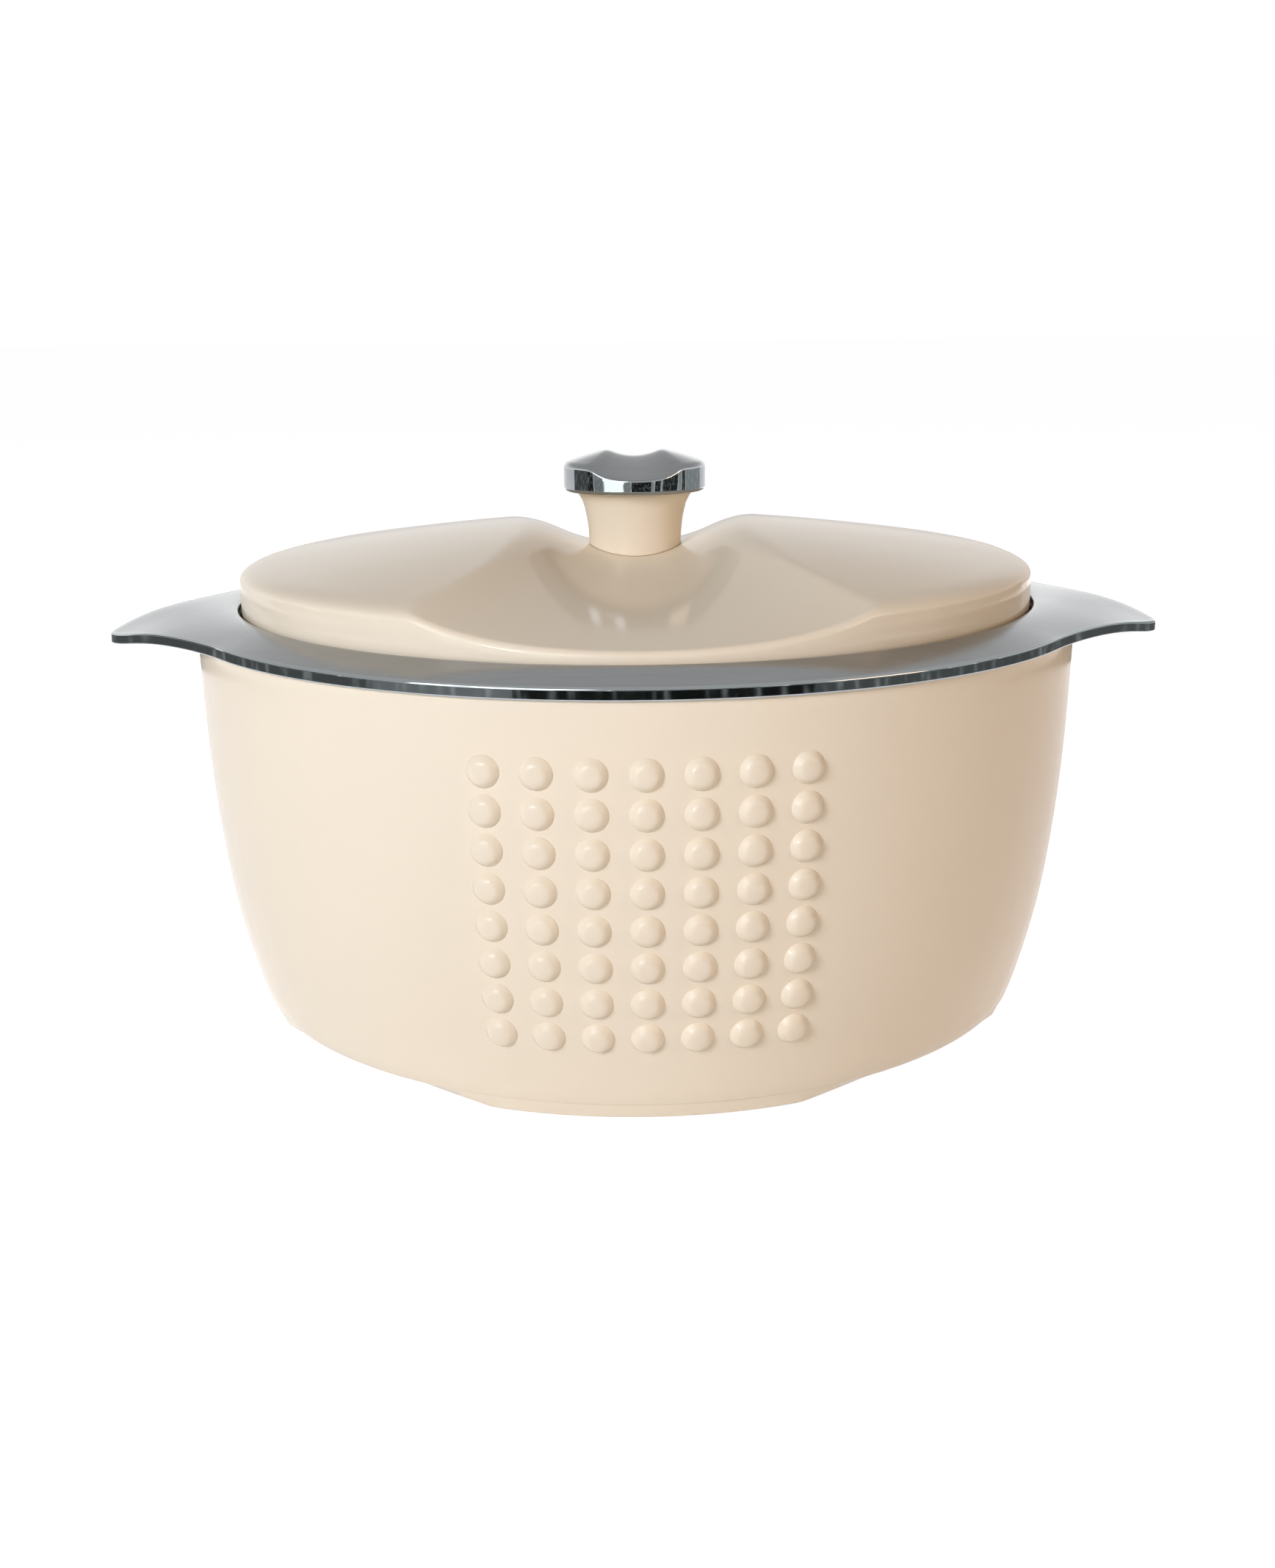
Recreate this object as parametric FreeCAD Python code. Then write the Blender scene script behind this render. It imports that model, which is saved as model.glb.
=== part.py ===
import FreeCAD, Part
import math
import os

# Insulated chapati casserole, in millimetres.
# The origin is on the table under the middle of the pot. +Z is up, -Y is the
# front, and the two wing handles point along +X and -X.

Vec = FreeCAD.Vector
UP = Vec(0, 0, 1)
CENTRE = Vec(0, 0, 0)
FULL_TURN = 360.0

# Clearances: between parts fixed together, and between the lid and the pot.
FIT = 0.25
RUNNING = 0.3

# Outer wall: radius and height of the points that its curve runs through.
WALL_POINTS = [(119.0, 0.0), (123.2, 11.5), (128.8, 34.5), (132.3, 60.0), (134.4, 88.0), (135.4, 124.0)]
WALL_THICKNESS = 2.5
SHELL_BOTTOM = 5.0
FLANGE_TOP = 118.5
FLANGE_THICKNESS = 2.5
FLANGE_INNER_R = 114.0

# Raised dots on the front and the back of the wall.
DOT_COLUMNS = 7
DOT_ROWS = 8
DOT_ANGLE_PITCH = 5.87
DOT_ROW_PITCH = 10.41
DOT_TOP_Z = 99.6
DOT_RADIUS = 4.25
DOT_HEIGHT = 2.1
DOT_STEP = 0.3
DOT_ROOT = 1.2

# Rim plate with its two wings. Angles are in degrees from the wing's own axis.
SEAT_Z = 125.0
RIM_INNER_R = 123.0
RIM_OUTER_R = 136.5
RIM_TOP_Z = SEAT_Z + 0.2
RIM_THICKNESS = 3.4
RIM_FALL = 3.4
WING_REACH = 29.5
WING_SPAN = 30.0
WING_POWER = 1.9
WING_FALL = 7.1
WING_BELL = 10.0
TIP_SOFTNESS = 1.2
RIM_LIP_THICKNESS = 2.2

# Screws that hold the rim plate down, driven up through the shell's flange.
RIM_SCREW_R = 129.5
RIM_SCREW_COUNT = 4
SCREW_SHANK_R = 1.5
SCREW_PILOT_R = 1.6
SCREW_CLEAR_R = 1.9
SCREW_HEAD_R = 3.2
SCREW_HEAD_HEIGHT = 2.2
FIRST_SCREW_ANGLE = 45.0

# Stainless bowl and the collar over its lip.
STEEL = 0.6
BOWL_MOUTH_R = 108.0
BOWL_FOOT_R = 103.0
BOWL_FLOOR_Z = 20.6
BOWL_CORNER = 20.0
BOWL_FLARE = 4.0
BOWL_LIP_R = 117.0
COLLAR_INNER_R = 112.3
LEDGE_Z = 121.0

# Base plate, its four foot lobes with low arches between them, and the pads.
BASE_THICKNESS = 2.5
BASE_STEP = 0.4
LOBE_INNER_R = 96.0
LOBE_BOTTOM = 0.4
ARCH_TOP = 5.3
ARCH_HALF_WIDTH = 48.0
ARCH_ANGLE = 43.0
PAD_INNER_R = 101.0
PAD_OUTER_R = 113.0
PAD_HALF_ANGLE = 16.0
PAD_THICKNESS = 2.0
LEDGE_RING_R = 104.0
BASE_SCREW_R = 112.5
BASE_BOSS_R = 4.5
BASE_BOSS_TOP = 20.0
FILLER_HOLE_R = 9.0
FILLER_HEAD_R = 12.0
FILLER_HEAD_DEPTH = 1.2
STIFFENER_RADII = (34.0, 64.0)

# Lid: a dome with a valley from front to back. Heights are above SEAT_Z.
LID_RADIUS = 122.0
LID_SKIRT_Z = LEDGE_Z + RUNNING
LID_THICKNESS = 2.5
LID_SHOULDER = 10.0
LID_SIDE_TOP = 8.5
LID_EDGE_HEIGHT = 11.4
LID_CROWN = 12.6
LID_DOME_POWER = 1.58
LID_VALLEY = {"middle": 13.7, "slope": 0.111, "reach": 120.0, "waist": 29.0, "spread": 0.475, "ease": 1.5}
LINER_RADIUS = 104.0
LINER_BOTTOM = 112.0
LINER_CORNER = 4.0
LINER_FLANGE_R = 117.0
LID_RING_THICKNESS = 2.0
GASKET_LIP_R = 108.6

# Knob: a waisted stem under a cap that repeats the lid's form.
STEM_TOP = 157.4
STEM_POINTS = [(14.4, 134.0), (14.4, 141.0), (14.9, 147.0), (16.2, 153.5), (18.2, STEM_TOP)]
SPIGOT_R = 12.0
SPIGOT_HEIGHT = 1.8
CAP_RADIUS = 22.0
CAP_BOTTOM_ROUND = 1.2
CAP_SHOULDER = 1.8
CAP_SIDE_TOP = 6.9
CAP_EDGE_HEIGHT = 8.6
CAP_CROWN = 5.2
CAP_DOME_POWER = 1.5
CAP_VALLEY = {"middle": 10.6, "slope": 0.4, "reach": 22.0, "waist": 8.3, "spread": 0.66, "ease": 0.8}

# Screw, washer and threaded insert that hold the knob, driven from inside the lid.
KNOB_BOSS_R = 8.5
KNOB_BOSS_BOTTOM = 130.0
KNOB_SCREW_R = 2.4
KNOB_SCREW_TOP = 150.0
KNOB_HOLE_R = 2.8
KNOB_HEAD_R = 4.2
KNOB_HEAD_HEIGHT = 2.8
WASHER_RADIUS = 7.0
WASHER_THICKNESS = 1.2
INSERT_OUTER_R = 4.0
INSERT_INNER_R = 2.5
INSERT_BOTTOM = 142.0
INSERT_TOP = 151.0


def save(name, shape):
    """Write one named piece, and say how large and how sound it is."""
    shape.exportStep("parts/" + name + ".step")
    print(name, "solids", len(shape.Solids), "volume", round(shape.Volume, 1), "valid", shape.isValid())


def polar(radius, degrees, z=0.0):
    """The point at a radius and an angle from +X."""
    angle = math.radians(degrees)
    return Vec(radius * math.cos(angle), radius * math.sin(angle), z)


def cylinder(radius, bottom, top, at=CENTRE):
    """An upright cylinder between two heights."""
    return Part.makeCylinder(radius, top - bottom, Vec(at.x, at.y, bottom), UP)


def rounded_wire(corners):
    """A closed outline in the XZ plane from (radius, height, corner rounding)."""
    points = [Vec(corner[0], 0, corner[1]) for corner in corners]
    entries = []
    exits = []
    edges = []
    for index, corner in enumerate(corners):
        point = points[index]
        back = (points[index - 1] - point).normalize()
        ahead = (points[(index + 1) % len(points)] - point).normalize()
        rounding = corner[2]
        half = back.getAngle(ahead) / 2
        entries.append(point + back * (rounding / math.tan(half)))
        exits.append(point + ahead * (rounding / math.tan(half)))
        if rounding > 0:
            inward = (back + ahead).normalize()
            middle = point + inward * (rounding / math.sin(half) - rounding)
            edges.append(Part.Arc(entries[-1], middle, exits[-1]).toShape())
    for index in range(len(points)):
        start = exits[index]
        end = entries[(index + 1) % len(points)]
        if start.distanceToPoint(end) > 1e-6:
            edges.append(Part.LineSegment(start, end).toShape())
    return Part.Wire(Part.__sortEdges__(edges))


def turned(corners, degrees=FULL_TURN):
    """The solid that an outline sweeps about the pot's axis."""
    return Part.Face(rounded_wire(corners)).revolve(CENTRE, UP, degrees)


def ring(inner, outer, bottom, top):
    """A plain ring of rectangular section."""
    return turned([(inner, bottom, 0), (outer, bottom, 0), (outer, top, 0), (inner, top, 0)])


def rim_screw_places():
    """Evenly spaced points under the rim plate."""
    turn = FULL_TURN / RIM_SCREW_COUNT
    return [polar(RIM_SCREW_R, FIRST_SCREW_ANGLE + turn * index) for index in range(RIM_SCREW_COUNT)]


def pan_screws(places, seat, tip):
    """Screws pointing up, with their heads under the seat."""
    head_bottom = seat - SCREW_HEAD_HEIGHT
    screws = []
    for place in places:
        head = cylinder(SCREW_HEAD_R, head_bottom, seat, place)
        lower_edge = [edge for edge in head.Edges if abs(edge.BoundBox.ZMax - head_bottom) < 1e-6]
        head = head.makeFillet(SCREW_HEAD_HEIGHT / 2, lower_edge)
        screws.append(head.fuse(cylinder(SCREW_SHANK_R, seat, tip, place)).removeSplitter())
    return Part.makeCompound(screws)


# ---------------------------------------------------------------- outer wall

def wall_curve(inset):
    """The wall's outline, moved towards the axis by the inset."""
    curve = Part.BSplineCurve()
    curve.interpolate([Vec(radius - inset, 0, z) for radius, z in WALL_POINTS])
    return curve


def wall_radius(z):
    """The wall's outer radius at a height, found by halving the curve's span."""
    curve = wall_curve(0)
    low = curve.FirstParameter
    high = curve.LastParameter
    for _ in range(40):
        middle = (low + high) / 2
        if curve.value(middle).z < z:
            low = middle
        else:
            high = middle
    return curve.value(low).x


def wall_solid(inset, bottom, top):
    """Everything inside the wall's curve, between two heights."""
    curve = wall_curve(inset)
    start = curve.StartPoint
    end = curve.EndPoint
    edges = [
        curve.toShape(),
        Part.LineSegment(end, Vec(0, 0, end.z)).toShape(),
        Part.LineSegment(Vec(0, 0, end.z), Vec(0, 0, start.z)).toShape(),
        Part.LineSegment(Vec(0, 0, start.z), start).toShape(),
    ]
    whole = Part.Face(Part.Wire(edges)).revolve(CENTRE, UP, FULL_TURN)
    return whole.common(cylinder(2 * RIM_OUTER_R, bottom, top))


def dot(degrees, z):
    """One raised dot, standing square on the wall, with a root inside it."""
    chord = Vec(DOT_RADIUS, 0, DOT_STEP)
    crown = Vec(0, 0, DOT_HEIGHT)
    sphere_r = (DOT_RADIUS ** 2 + (DOT_HEIGHT - DOT_STEP) ** 2) / (2 * (DOT_HEIGHT - DOT_STEP))
    half_way = math.asin(DOT_RADIUS / sphere_r) / 2
    between = Vec(sphere_r * math.sin(half_way), 0, DOT_HEIGHT - sphere_r * (1 - math.cos(half_way)))
    root = Vec(0, 0, -DOT_ROOT)
    root_edge = Vec(DOT_RADIUS, 0, -DOT_ROOT)
    outline = Part.Wire([
        Part.LineSegment(root, root_edge).toShape(),
        Part.LineSegment(root_edge, chord).toShape(),
        Part.Arc(chord, between, crown).toShape(),
        Part.LineSegment(crown, root).toShape(),
    ])
    body = Part.Face(outline).revolve(CENTRE, UP, FULL_TURN)
    slope = (wall_radius(z + 1) - wall_radius(z - 1)) / 2
    outward = polar(1.0, degrees)
    normal = Vec(outward.x, outward.y, -slope).normalize()
    foot = polar(wall_radius(z), degrees, z)
    body.Placement = FreeCAD.Placement(foot, FreeCAD.Rotation(UP, normal))
    return body


def dot_field(middle_angle):
    """The block of dots on one side of the pot."""
    dots = []
    for column in range(DOT_COLUMNS):
        degrees = middle_angle + (column - (DOT_COLUMNS - 1) / 2) * DOT_ANGLE_PITCH
        for row in range(DOT_ROWS):
            dots.append(dot(degrees, DOT_TOP_Z - row * DOT_ROW_PITCH))
    return dots


def outer_shell(plate_room):
    """Moulded wall, top flange, bottom ledge, screw bosses and dots, in one piece."""
    flange_bottom = FLANGE_TOP - FLANGE_THICKNESS
    ledge_bottom = SHELL_BOTTOM + BASE_THICKNESS
    ledge_top = ledge_bottom + WALL_THICKNESS
    top = RIM_TOP_Z
    wall = wall_solid(0, SHELL_BOTTOM, top).cut(wall_solid(WALL_THICKNESS, SHELL_BOTTOM - 1, top + 1))
    wall = wall.cut(plate_room)
    inside = wall_solid(WALL_THICKNESS / 2, SHELL_BOTTOM, top)
    flange = ring(FLANGE_INNER_R, RIM_OUTER_R, flange_bottom, FLANGE_TOP).common(inside)
    ledge = ring(LEDGE_RING_R, RIM_OUTER_R, ledge_bottom, ledge_top).common(inside)
    bosses = [cylinder(BASE_BOSS_R, ledge_bottom, BASE_BOSS_TOP, at) for at in base_screw_places()]
    shell = wall.fuse([flange, ledge] + bosses + dot_field(-90) + dot_field(90))
    holes = [cylinder(SCREW_CLEAR_R, flange_bottom - 1, FLANGE_TOP + 1, at) for at in rim_screw_places()]
    pilots = [cylinder(SCREW_PILOT_R, 0, BASE_BOSS_TOP - 2, at) for at in base_screw_places()]
    return shell.cut(holes + pilots).removeSplitter()


# ---------------------------------------------------------------- rim plate

def wing_bell(degrees):
    """How much of the wing's form is present at an angle: 1 on its axis."""
    return 1 / (1 + (degrees / WING_BELL) ** 2)


def rim_outline(degrees):
    """The plate's outer radius, which runs out into a softly pointed wing."""
    soft_angle = math.hypot(degrees, TIP_SOFTNESS) - TIP_SOFTNESS
    share = max(0.0, 1 - soft_angle / WING_SPAN)
    return RIM_OUTER_R + WING_REACH * share ** WING_POWER


def rim_point(degrees, share):
    """A point on the plate's top, share 0 at the opening and 1 at the edge."""
    bell = wing_bell(degrees)
    fall = RIM_FALL + WING_FALL * bell
    z = RIM_TOP_Z - fall * share ** (1 + 1.5 * bell)
    return polar(RIM_INNER_R + (rim_outline(degrees) - RIM_INNER_R) * share, degrees, z)


def rim_half(lower, thickness):
    """Half of the plate, from front to back through one wing."""
    steps = 22
    bands = 8
    grid = []
    for index in range(-steps, steps + 1):
        spread = abs(index / steps) ** 1.5
        degrees = math.copysign(90 * spread, index)
        grid.append([rim_point(degrees, band / bands) - Vec(0, 0, lower) for band in range(bands + 1)])
    surface = Part.BSplineSurface()
    surface.interpolate(grid)
    return surface.toShape().extrude(Vec(0, 0, thickness))


def rim_slab(lower, thickness):
    """The whole plate as a slab that starts a distance below its top face."""
    half = rim_half(lower, thickness)
    return half.fuse(half.mirror(CENTRE, Vec(1, 0, 0)))


def rim_plate():
    """The plate, the lip that stands on the shell's flange, and the screw bosses."""
    lip_inner = RIM_INNER_R + FIT
    lip = ring(lip_inner, lip_inner + RIM_LIP_THICKNESS, FLANGE_TOP, SEAT_Z - 2)
    boss_top = SEAT_Z - RIM_THICKNESS
    bosses = [cylinder(2 * SCREW_SHANK_R, FLANGE_TOP, boss_top, at) for at in rim_screw_places()]
    pilots = [cylinder(SCREW_PILOT_R, FLANGE_TOP - 1, boss_top + FIT, at) for at in rim_screw_places()]
    return rim_slab(0, -RIM_THICKNESS).fuse([lip] + bosses).cut(pilots)


# ---------------------------------------------------------------- bowl and collar

def bowl_corners(outset, top):
    """The bowl's inner face moved outwards, from the axis to a height at the mouth."""
    return [
        (0, BOWL_FLOOR_Z - outset, 0),
        (BOWL_FOOT_R + outset, BOWL_FLOOR_Z - outset, BOWL_CORNER + outset),
        (BOWL_MOUTH_R + outset, top, 0),
        (0, top, 0),
    ]


def inner_bowl():
    """Spun steel bowl with a flared mouth and a flat lip that rests on the flange."""
    lip_top = FLANGE_TOP + STEEL
    return turned([
        (0, BOWL_FLOOR_Z, 0),
        (BOWL_FOOT_R, BOWL_FLOOR_Z, BOWL_CORNER),
        (BOWL_MOUTH_R, lip_top, BOWL_FLARE),
        (BOWL_LIP_R, lip_top, 0),
        (BOWL_LIP_R, FLANGE_TOP, 0),
        (BOWL_MOUTH_R + STEEL, FLANGE_TOP, BOWL_FLARE - STEEL),
        (BOWL_FOOT_R + STEEL, BOWL_FLOOR_Z - STEEL, BOWL_CORNER + STEEL),
        (0, BOWL_FLOOR_Z - STEEL, 0),
    ])


def bowl_collar():
    """Ring that holds the bowl's lip down and gives the lid its ledge."""
    outer = RIM_INNER_R - FIT
    over_lip = FLANGE_TOP + STEEL + FIT
    return turned([
        (COLLAR_INNER_R, over_lip, 0),
        (BOWL_LIP_R + FIT, over_lip, 0),
        (BOWL_LIP_R + FIT, FLANGE_TOP, 0),
        (outer, FLANGE_TOP, 0),
        (outer, LEDGE_Z, 0.4),
        (COLLAR_INNER_R, LEDGE_Z, 0.8),
    ])


def body_foam():
    """Insulation between shell and bowl, moulded round the bosses and screw heads."""
    bottom = SHELL_BOTTOM + BASE_THICKNESS + WALL_THICKNESS + FIT
    top = FLANGE_TOP - FLANGE_THICKNESS - FIT
    foam = wall_solid(WALL_THICKNESS + FIT, bottom, top)
    room = [turned(bowl_corners(STEEL + FIT, FLANGE_TOP))]
    for at in base_screw_places():
        room.append(cylinder(BASE_BOSS_R + FIT, bottom - 1, BASE_BOSS_TOP + FIT, at))
    for at in rim_screw_places():
        room.append(cylinder(SCREW_HEAD_R + FIT, top - SCREW_HEAD_HEIGHT - FIT, top + 1, at))
    flare = ring(BOWL_MOUTH_R - 1, FLANGE_INNER_R, FLANGE_TOP - 2 * BOWL_FLARE, FLANGE_TOP)
    return foam.cut(room + [flare])


# ---------------------------------------------------------------- base

def arch_angles():
    """The four directions of the arches, two beside the front lobe and two behind."""
    return [middle + side * ARCH_ANGLE for middle in (90, 270) for side in (-1, 1)]


def base_screw_places():
    """One base screw at the top of each arch."""
    return [polar(BASE_SCREW_R, degrees) for degrees in arch_angles()]


def arch_cutters():
    """Wide low cylinders that raise the foot ring between the four lobes."""
    radius = (ARCH_HALF_WIDTH ** 2 + ARCH_TOP ** 2) / (2 * ARCH_TOP)
    cutters = []
    for degrees in arch_angles():
        outward = polar(1.0, degrees)
        start = outward * (LOBE_INNER_R / 2) + Vec(0, 0, ARCH_TOP - radius)
        cutters.append(Part.makeCylinder(radius, RIM_OUTER_R, start, outward))
    return cutters


def pad_sector(grow, half_angle, bottom, top, middle_angle):
    """A curved strip of the foot ring, centred on one lobe."""
    outline = [
        (PAD_INNER_R - grow, bottom, 0),
        (PAD_OUTER_R + grow, bottom, 0),
        (PAD_OUTER_R + grow, top, 0),
        (PAD_INNER_R - grow, top, 0),
    ]
    strip = turned(outline, 2 * half_angle)
    strip.rotate(CENTRE, UP, middle_angle - half_angle)
    return strip


def base_plate():
    """Bottom cover: a disc inside the shell, four lobes, and stiffening rings."""
    disc_top = SHELL_BOTTOM + BASE_THICKNESS
    disc_r = wall_radius(SHELL_BOTTOM) - WALL_THICKNESS - FIT
    disc = cylinder(disc_r, SHELL_BOTTOM, disc_top)
    foot_ring = turned([
        (LOBE_INNER_R, LOBE_BOTTOM, 0),
        (wall_radius(LOBE_BOTTOM) - BASE_STEP, LOBE_BOTTOM, 1.0),
        (wall_radius(SHELL_BOTTOM) - BASE_STEP, SHELL_BOTTOM, 0),
        (LOBE_INNER_R, SHELL_BOTTOM, 0),
    ])
    lobes = foot_ring.cut(arch_cutters())
    stiffeners = [ring(r, r + 1.5, SHELL_BOTTOM - 1, SHELL_BOTTOM) for r in STIFFENER_RADII]
    plate = disc.fuse([lobes] + stiffeners)
    room = [cylinder(FILLER_HOLE_R, SHELL_BOTTOM - 1, disc_top + 1)]
    room.append(cylinder(FILLER_HEAD_R + FIT, SHELL_BOTTOM - 1, SHELL_BOTTOM + FILLER_HEAD_DEPTH))
    for at in base_screw_places():
        room.append(cylinder(SCREW_CLEAR_R, 0, disc_top + 1, at))
        room.append(cylinder(SCREW_HEAD_R + FIT, 0, SHELL_BOTTOM, at))
    for degrees in (0, 90, 180, 270):
        pocket_top = PAD_THICKNESS + FIT / 2
        room.append(pad_sector(FIT, PAD_HALF_ANGLE + 0.2, -1, pocket_top, degrees))
    return plate.cut(room).removeSplitter()


def filler_plug():
    """Push-in plug of the foam filling hole, flush with the base plate."""
    head_top = SHELL_BOTTOM + FILLER_HEAD_DEPTH
    return turned([
        (0, SHELL_BOTTOM, 0),
        (FILLER_HEAD_R, SHELL_BOTTOM, 0.5),
        (FILLER_HEAD_R, head_top, 0),
        (FILLER_HOLE_R - FIT, head_top, 0),
        (FILLER_HOLE_R - FIT, SHELL_BOTTOM + BASE_THICKNESS + 2, 1.0),
        (0, SHELL_BOTTOM + BASE_THICKNESS + 2, 0),
    ])


# ---------------------------------------------------------------- domes with a valley

def lid_rise(r):
    """Height of the lid's dome above its seat, at a radius."""
    return LID_EDGE_HEIGHT + LID_CROWN * (1 - (r / LID_RADIUS) ** LID_DOME_POWER)


def cap_rise(r):
    """Height of the knob cap's dome above the stem, at a radius."""
    return CAP_EDGE_HEIGHT + CAP_CROWN * (1 - (r / CAP_RADIUS) ** CAP_DOME_POWER)


def valley_rise(form, rise, x, y):
    """Height of the valley's floor, hollow between two ridges that draw apart to the ends."""
    along = form["middle"] - form["slope"] * (math.hypot(y, form["waist"]) - form["waist"])
    ridge_x = math.hypot(form["waist"], form["spread"] * y)
    ridge_r = math.hypot(ridge_x, y)
    ridge = rise(ridge_r) - form["ease"] * (ridge_r / form["reach"]) ** 6
    return along + (ridge - along) * (x / ridge_x) ** 2


def above_valley(form, rise, base, radius):
    """Everything above the valley's floor, to be cut from a dome."""
    cells = 24
    reach = radius * 1.06
    grid = []
    for column in range(cells + 1):
        x = reach * (2 * column / cells - 1)
        spots = [reach * (2 * row / cells - 1) for row in range(cells + 1)]
        grid.append([Vec(x, y, base + valley_rise(form, rise, x, y)) for y in spots])
    surface = Part.BSplineSurface()
    surface.interpolate(grid)
    return surface.toShape().extrude(Vec(0, 0, 2 * radius))


def dome_solid(rise, base, radius, shoulder, side_top, bottom, bottom_round=0.0):
    """A dome on a straight side, joined by a shoulder that leaves both smoothly."""
    shoulder_r = radius - shoulder
    samples = 9
    crown = Part.BSplineCurve()
    spots = [shoulder_r * index / (samples - 1) for index in range(samples)]
    crown.interpolate([Vec(r, 0, base + rise(r)) for r in spots])
    start = Vec(shoulder_r, 0, base + rise(shoulder_r))
    slope = rise(shoulder_r) - rise(shoulder_r - 1)
    side = Vec(radius, 0, base + side_top)
    half = shoulder / 2
    lean = Vec(shoulder_r + half, 0, start.z + slope * half)
    drop = Vec(radius, 0, side.z + (start.z - side.z) * 0.6)
    curve = Part.BezierCurve()
    curve.setPoles([start, lean, drop, side])
    low_side = Vec(radius, 0, bottom + bottom_round)
    low_edge = Vec(radius - bottom_round, 0, bottom)
    edges = [crown.toShape(), curve.toShape(), Part.LineSegment(side, low_side).toShape()]
    if bottom_round > 0:
        turn = bottom_round * (1 - math.sqrt(0.5))
        edges.append(Part.Arc(low_side, Vec(radius - turn, 0, bottom + turn), low_edge).toShape())
    edges.append(Part.LineSegment(low_edge, Vec(0, 0, bottom)).toShape())
    edges.append(Part.LineSegment(Vec(0, 0, bottom), Vec(0, 0, base + rise(0))).toShape())
    return Part.Face(Part.Wire(edges)).revolve(CENTRE, UP, FULL_TURN)


def lid_solid(inset, bottom):
    """The lid's outer form, shrunk by an inset, down to a height."""
    base = SEAT_Z - inset
    dome = dome_solid(lid_rise, base, LID_RADIUS - inset, LID_SHOULDER, LID_SIDE_TOP, bottom)
    return dome.cut(above_valley(LID_VALLEY, lid_rise, base, LID_RADIUS))


# ---------------------------------------------------------------- lid

def lid_shell():
    """Moulded dome with a boss under its middle for the knob's screw."""
    outside = lid_solid(0, LID_SKIRT_Z)
    boss = cylinder(KNOB_BOSS_R, KNOB_BOSS_BOTTOM, SEAT_Z + LID_VALLEY["middle"] + 2)
    shell = outside.cut(lid_solid(LID_THICKNESS, LID_SKIRT_Z - 1))
    shell = shell.fuse(boss.common(outside))
    return shell.cut(cylinder(KNOB_HOLE_R, KNOB_BOSS_BOTTOM - 1, STEM_TOP))


def liner_seat():
    """Height of the underside of the liner's flange, on top of the ring."""
    return LID_SKIRT_Z + LID_RING_THICKNESS + FIT


def lid_foam():
    """Insulation in the dome and in the liner's plug."""
    flange_top = liner_seat() + STEEL + FIT
    plug = cylinder(LINER_RADIUS - STEEL - FIT, LINER_BOTTOM + STEEL + LINER_CORNER, flange_top)
    cup = cylinder(LINER_RADIUS - STEEL - LINER_CORNER, LINER_BOTTOM + STEEL + FIT, flange_top)
    pocket_bottom = KNOB_BOSS_BOTTOM - WASHER_THICKNESS - KNOB_HEAD_HEIGHT - 2 * FIT
    pocket = cylinder(KNOB_BOSS_R + FIT, pocket_bottom, STEM_TOP)
    return lid_solid(LID_THICKNESS + FIT, flange_top).fuse([plug, cup]).cut(pocket)


def lid_liner():
    """Pressed steel pan: the lid's clean underside, which dips into the bowl."""
    seat = liner_seat()
    inner = LINER_RADIUS - STEEL
    return turned([
        (0, LINER_BOTTOM, 0),
        (LINER_RADIUS, LINER_BOTTOM, LINER_CORNER),
        (LINER_RADIUS, seat, 0),
        (LINER_FLANGE_R, seat, 0),
        (LINER_FLANGE_R, seat + STEEL, 0),
        (inner, seat + STEEL, 0.8),
        (inner, LINER_BOTTOM + STEEL, LINER_CORNER - STEEL),
        (0, LINER_BOTTOM + STEEL, 0),
    ])


def lid_ring():
    """Ring that snaps into the skirt under the liner's flange."""
    inner = LINER_RADIUS + FIT
    outer = LID_RADIUS - LID_THICKNESS - FIT
    return ring(inner, outer, LID_SKIRT_Z, LID_SKIRT_Z + LID_RING_THICKNESS)


def lid_gasket():
    """Soft ring with a lip, stretched round the liner under the ring."""
    inner = LINER_RADIUS + FIT
    top = LID_SKIRT_Z - FIT
    return turned([
        (inner, top - 4.0, 0),
        (GASKET_LIP_R, top - 2.8, 0.6),
        (inner + 1.8, top - 1.4, 0.5),
        (inner + 1.8, top, 0),
        (inner, top, 0),
    ])


# ---------------------------------------------------------------- knob

def knob_stem():
    """Waisted stem that sits in the valley, with a spigot for the cap."""
    flare = Part.BSplineCurve()
    flare.interpolate([Vec(radius, 0, z) for radius, z in STEM_POINTS])
    low = flare.StartPoint
    high = flare.EndPoint
    outline = Part.Wire([
        flare.toShape(),
        Part.LineSegment(high, Vec(0, 0, high.z)).toShape(),
        Part.LineSegment(Vec(0, 0, high.z), Vec(0, 0, low.z)).toShape(),
        Part.LineSegment(Vec(0, 0, low.z), low).toShape(),
    ])
    stem = Part.Face(outline).revolve(CENTRE, UP, FULL_TURN)
    valley = above_valley(LID_VALLEY, lid_rise, SEAT_Z + FIT / 5, LID_RADIUS)
    stem = stem.common(valley).fuse(cylinder(SPIGOT_R, STEM_TOP - 1, STEM_TOP + SPIGOT_HEIGHT))
    return stem.cut(cylinder(INSERT_OUTER_R + FIT, KNOB_BOSS_BOTTOM, INSERT_TOP + FIT)).removeSplitter()


def knob_cap():
    """Solid cap with the lid's dome and valley in small, over the stem's spigot."""
    dome = dome_solid(cap_rise, STEM_TOP, CAP_RADIUS, CAP_SHOULDER, CAP_SIDE_TOP, STEM_TOP, CAP_BOTTOM_ROUND)
    cap = dome.cut(above_valley(CAP_VALLEY, cap_rise, STEM_TOP, CAP_RADIUS))
    return cap.cut(cylinder(SPIGOT_R + FIT, STEM_TOP - 1, STEM_TOP + SPIGOT_HEIGHT + FIT))


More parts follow.
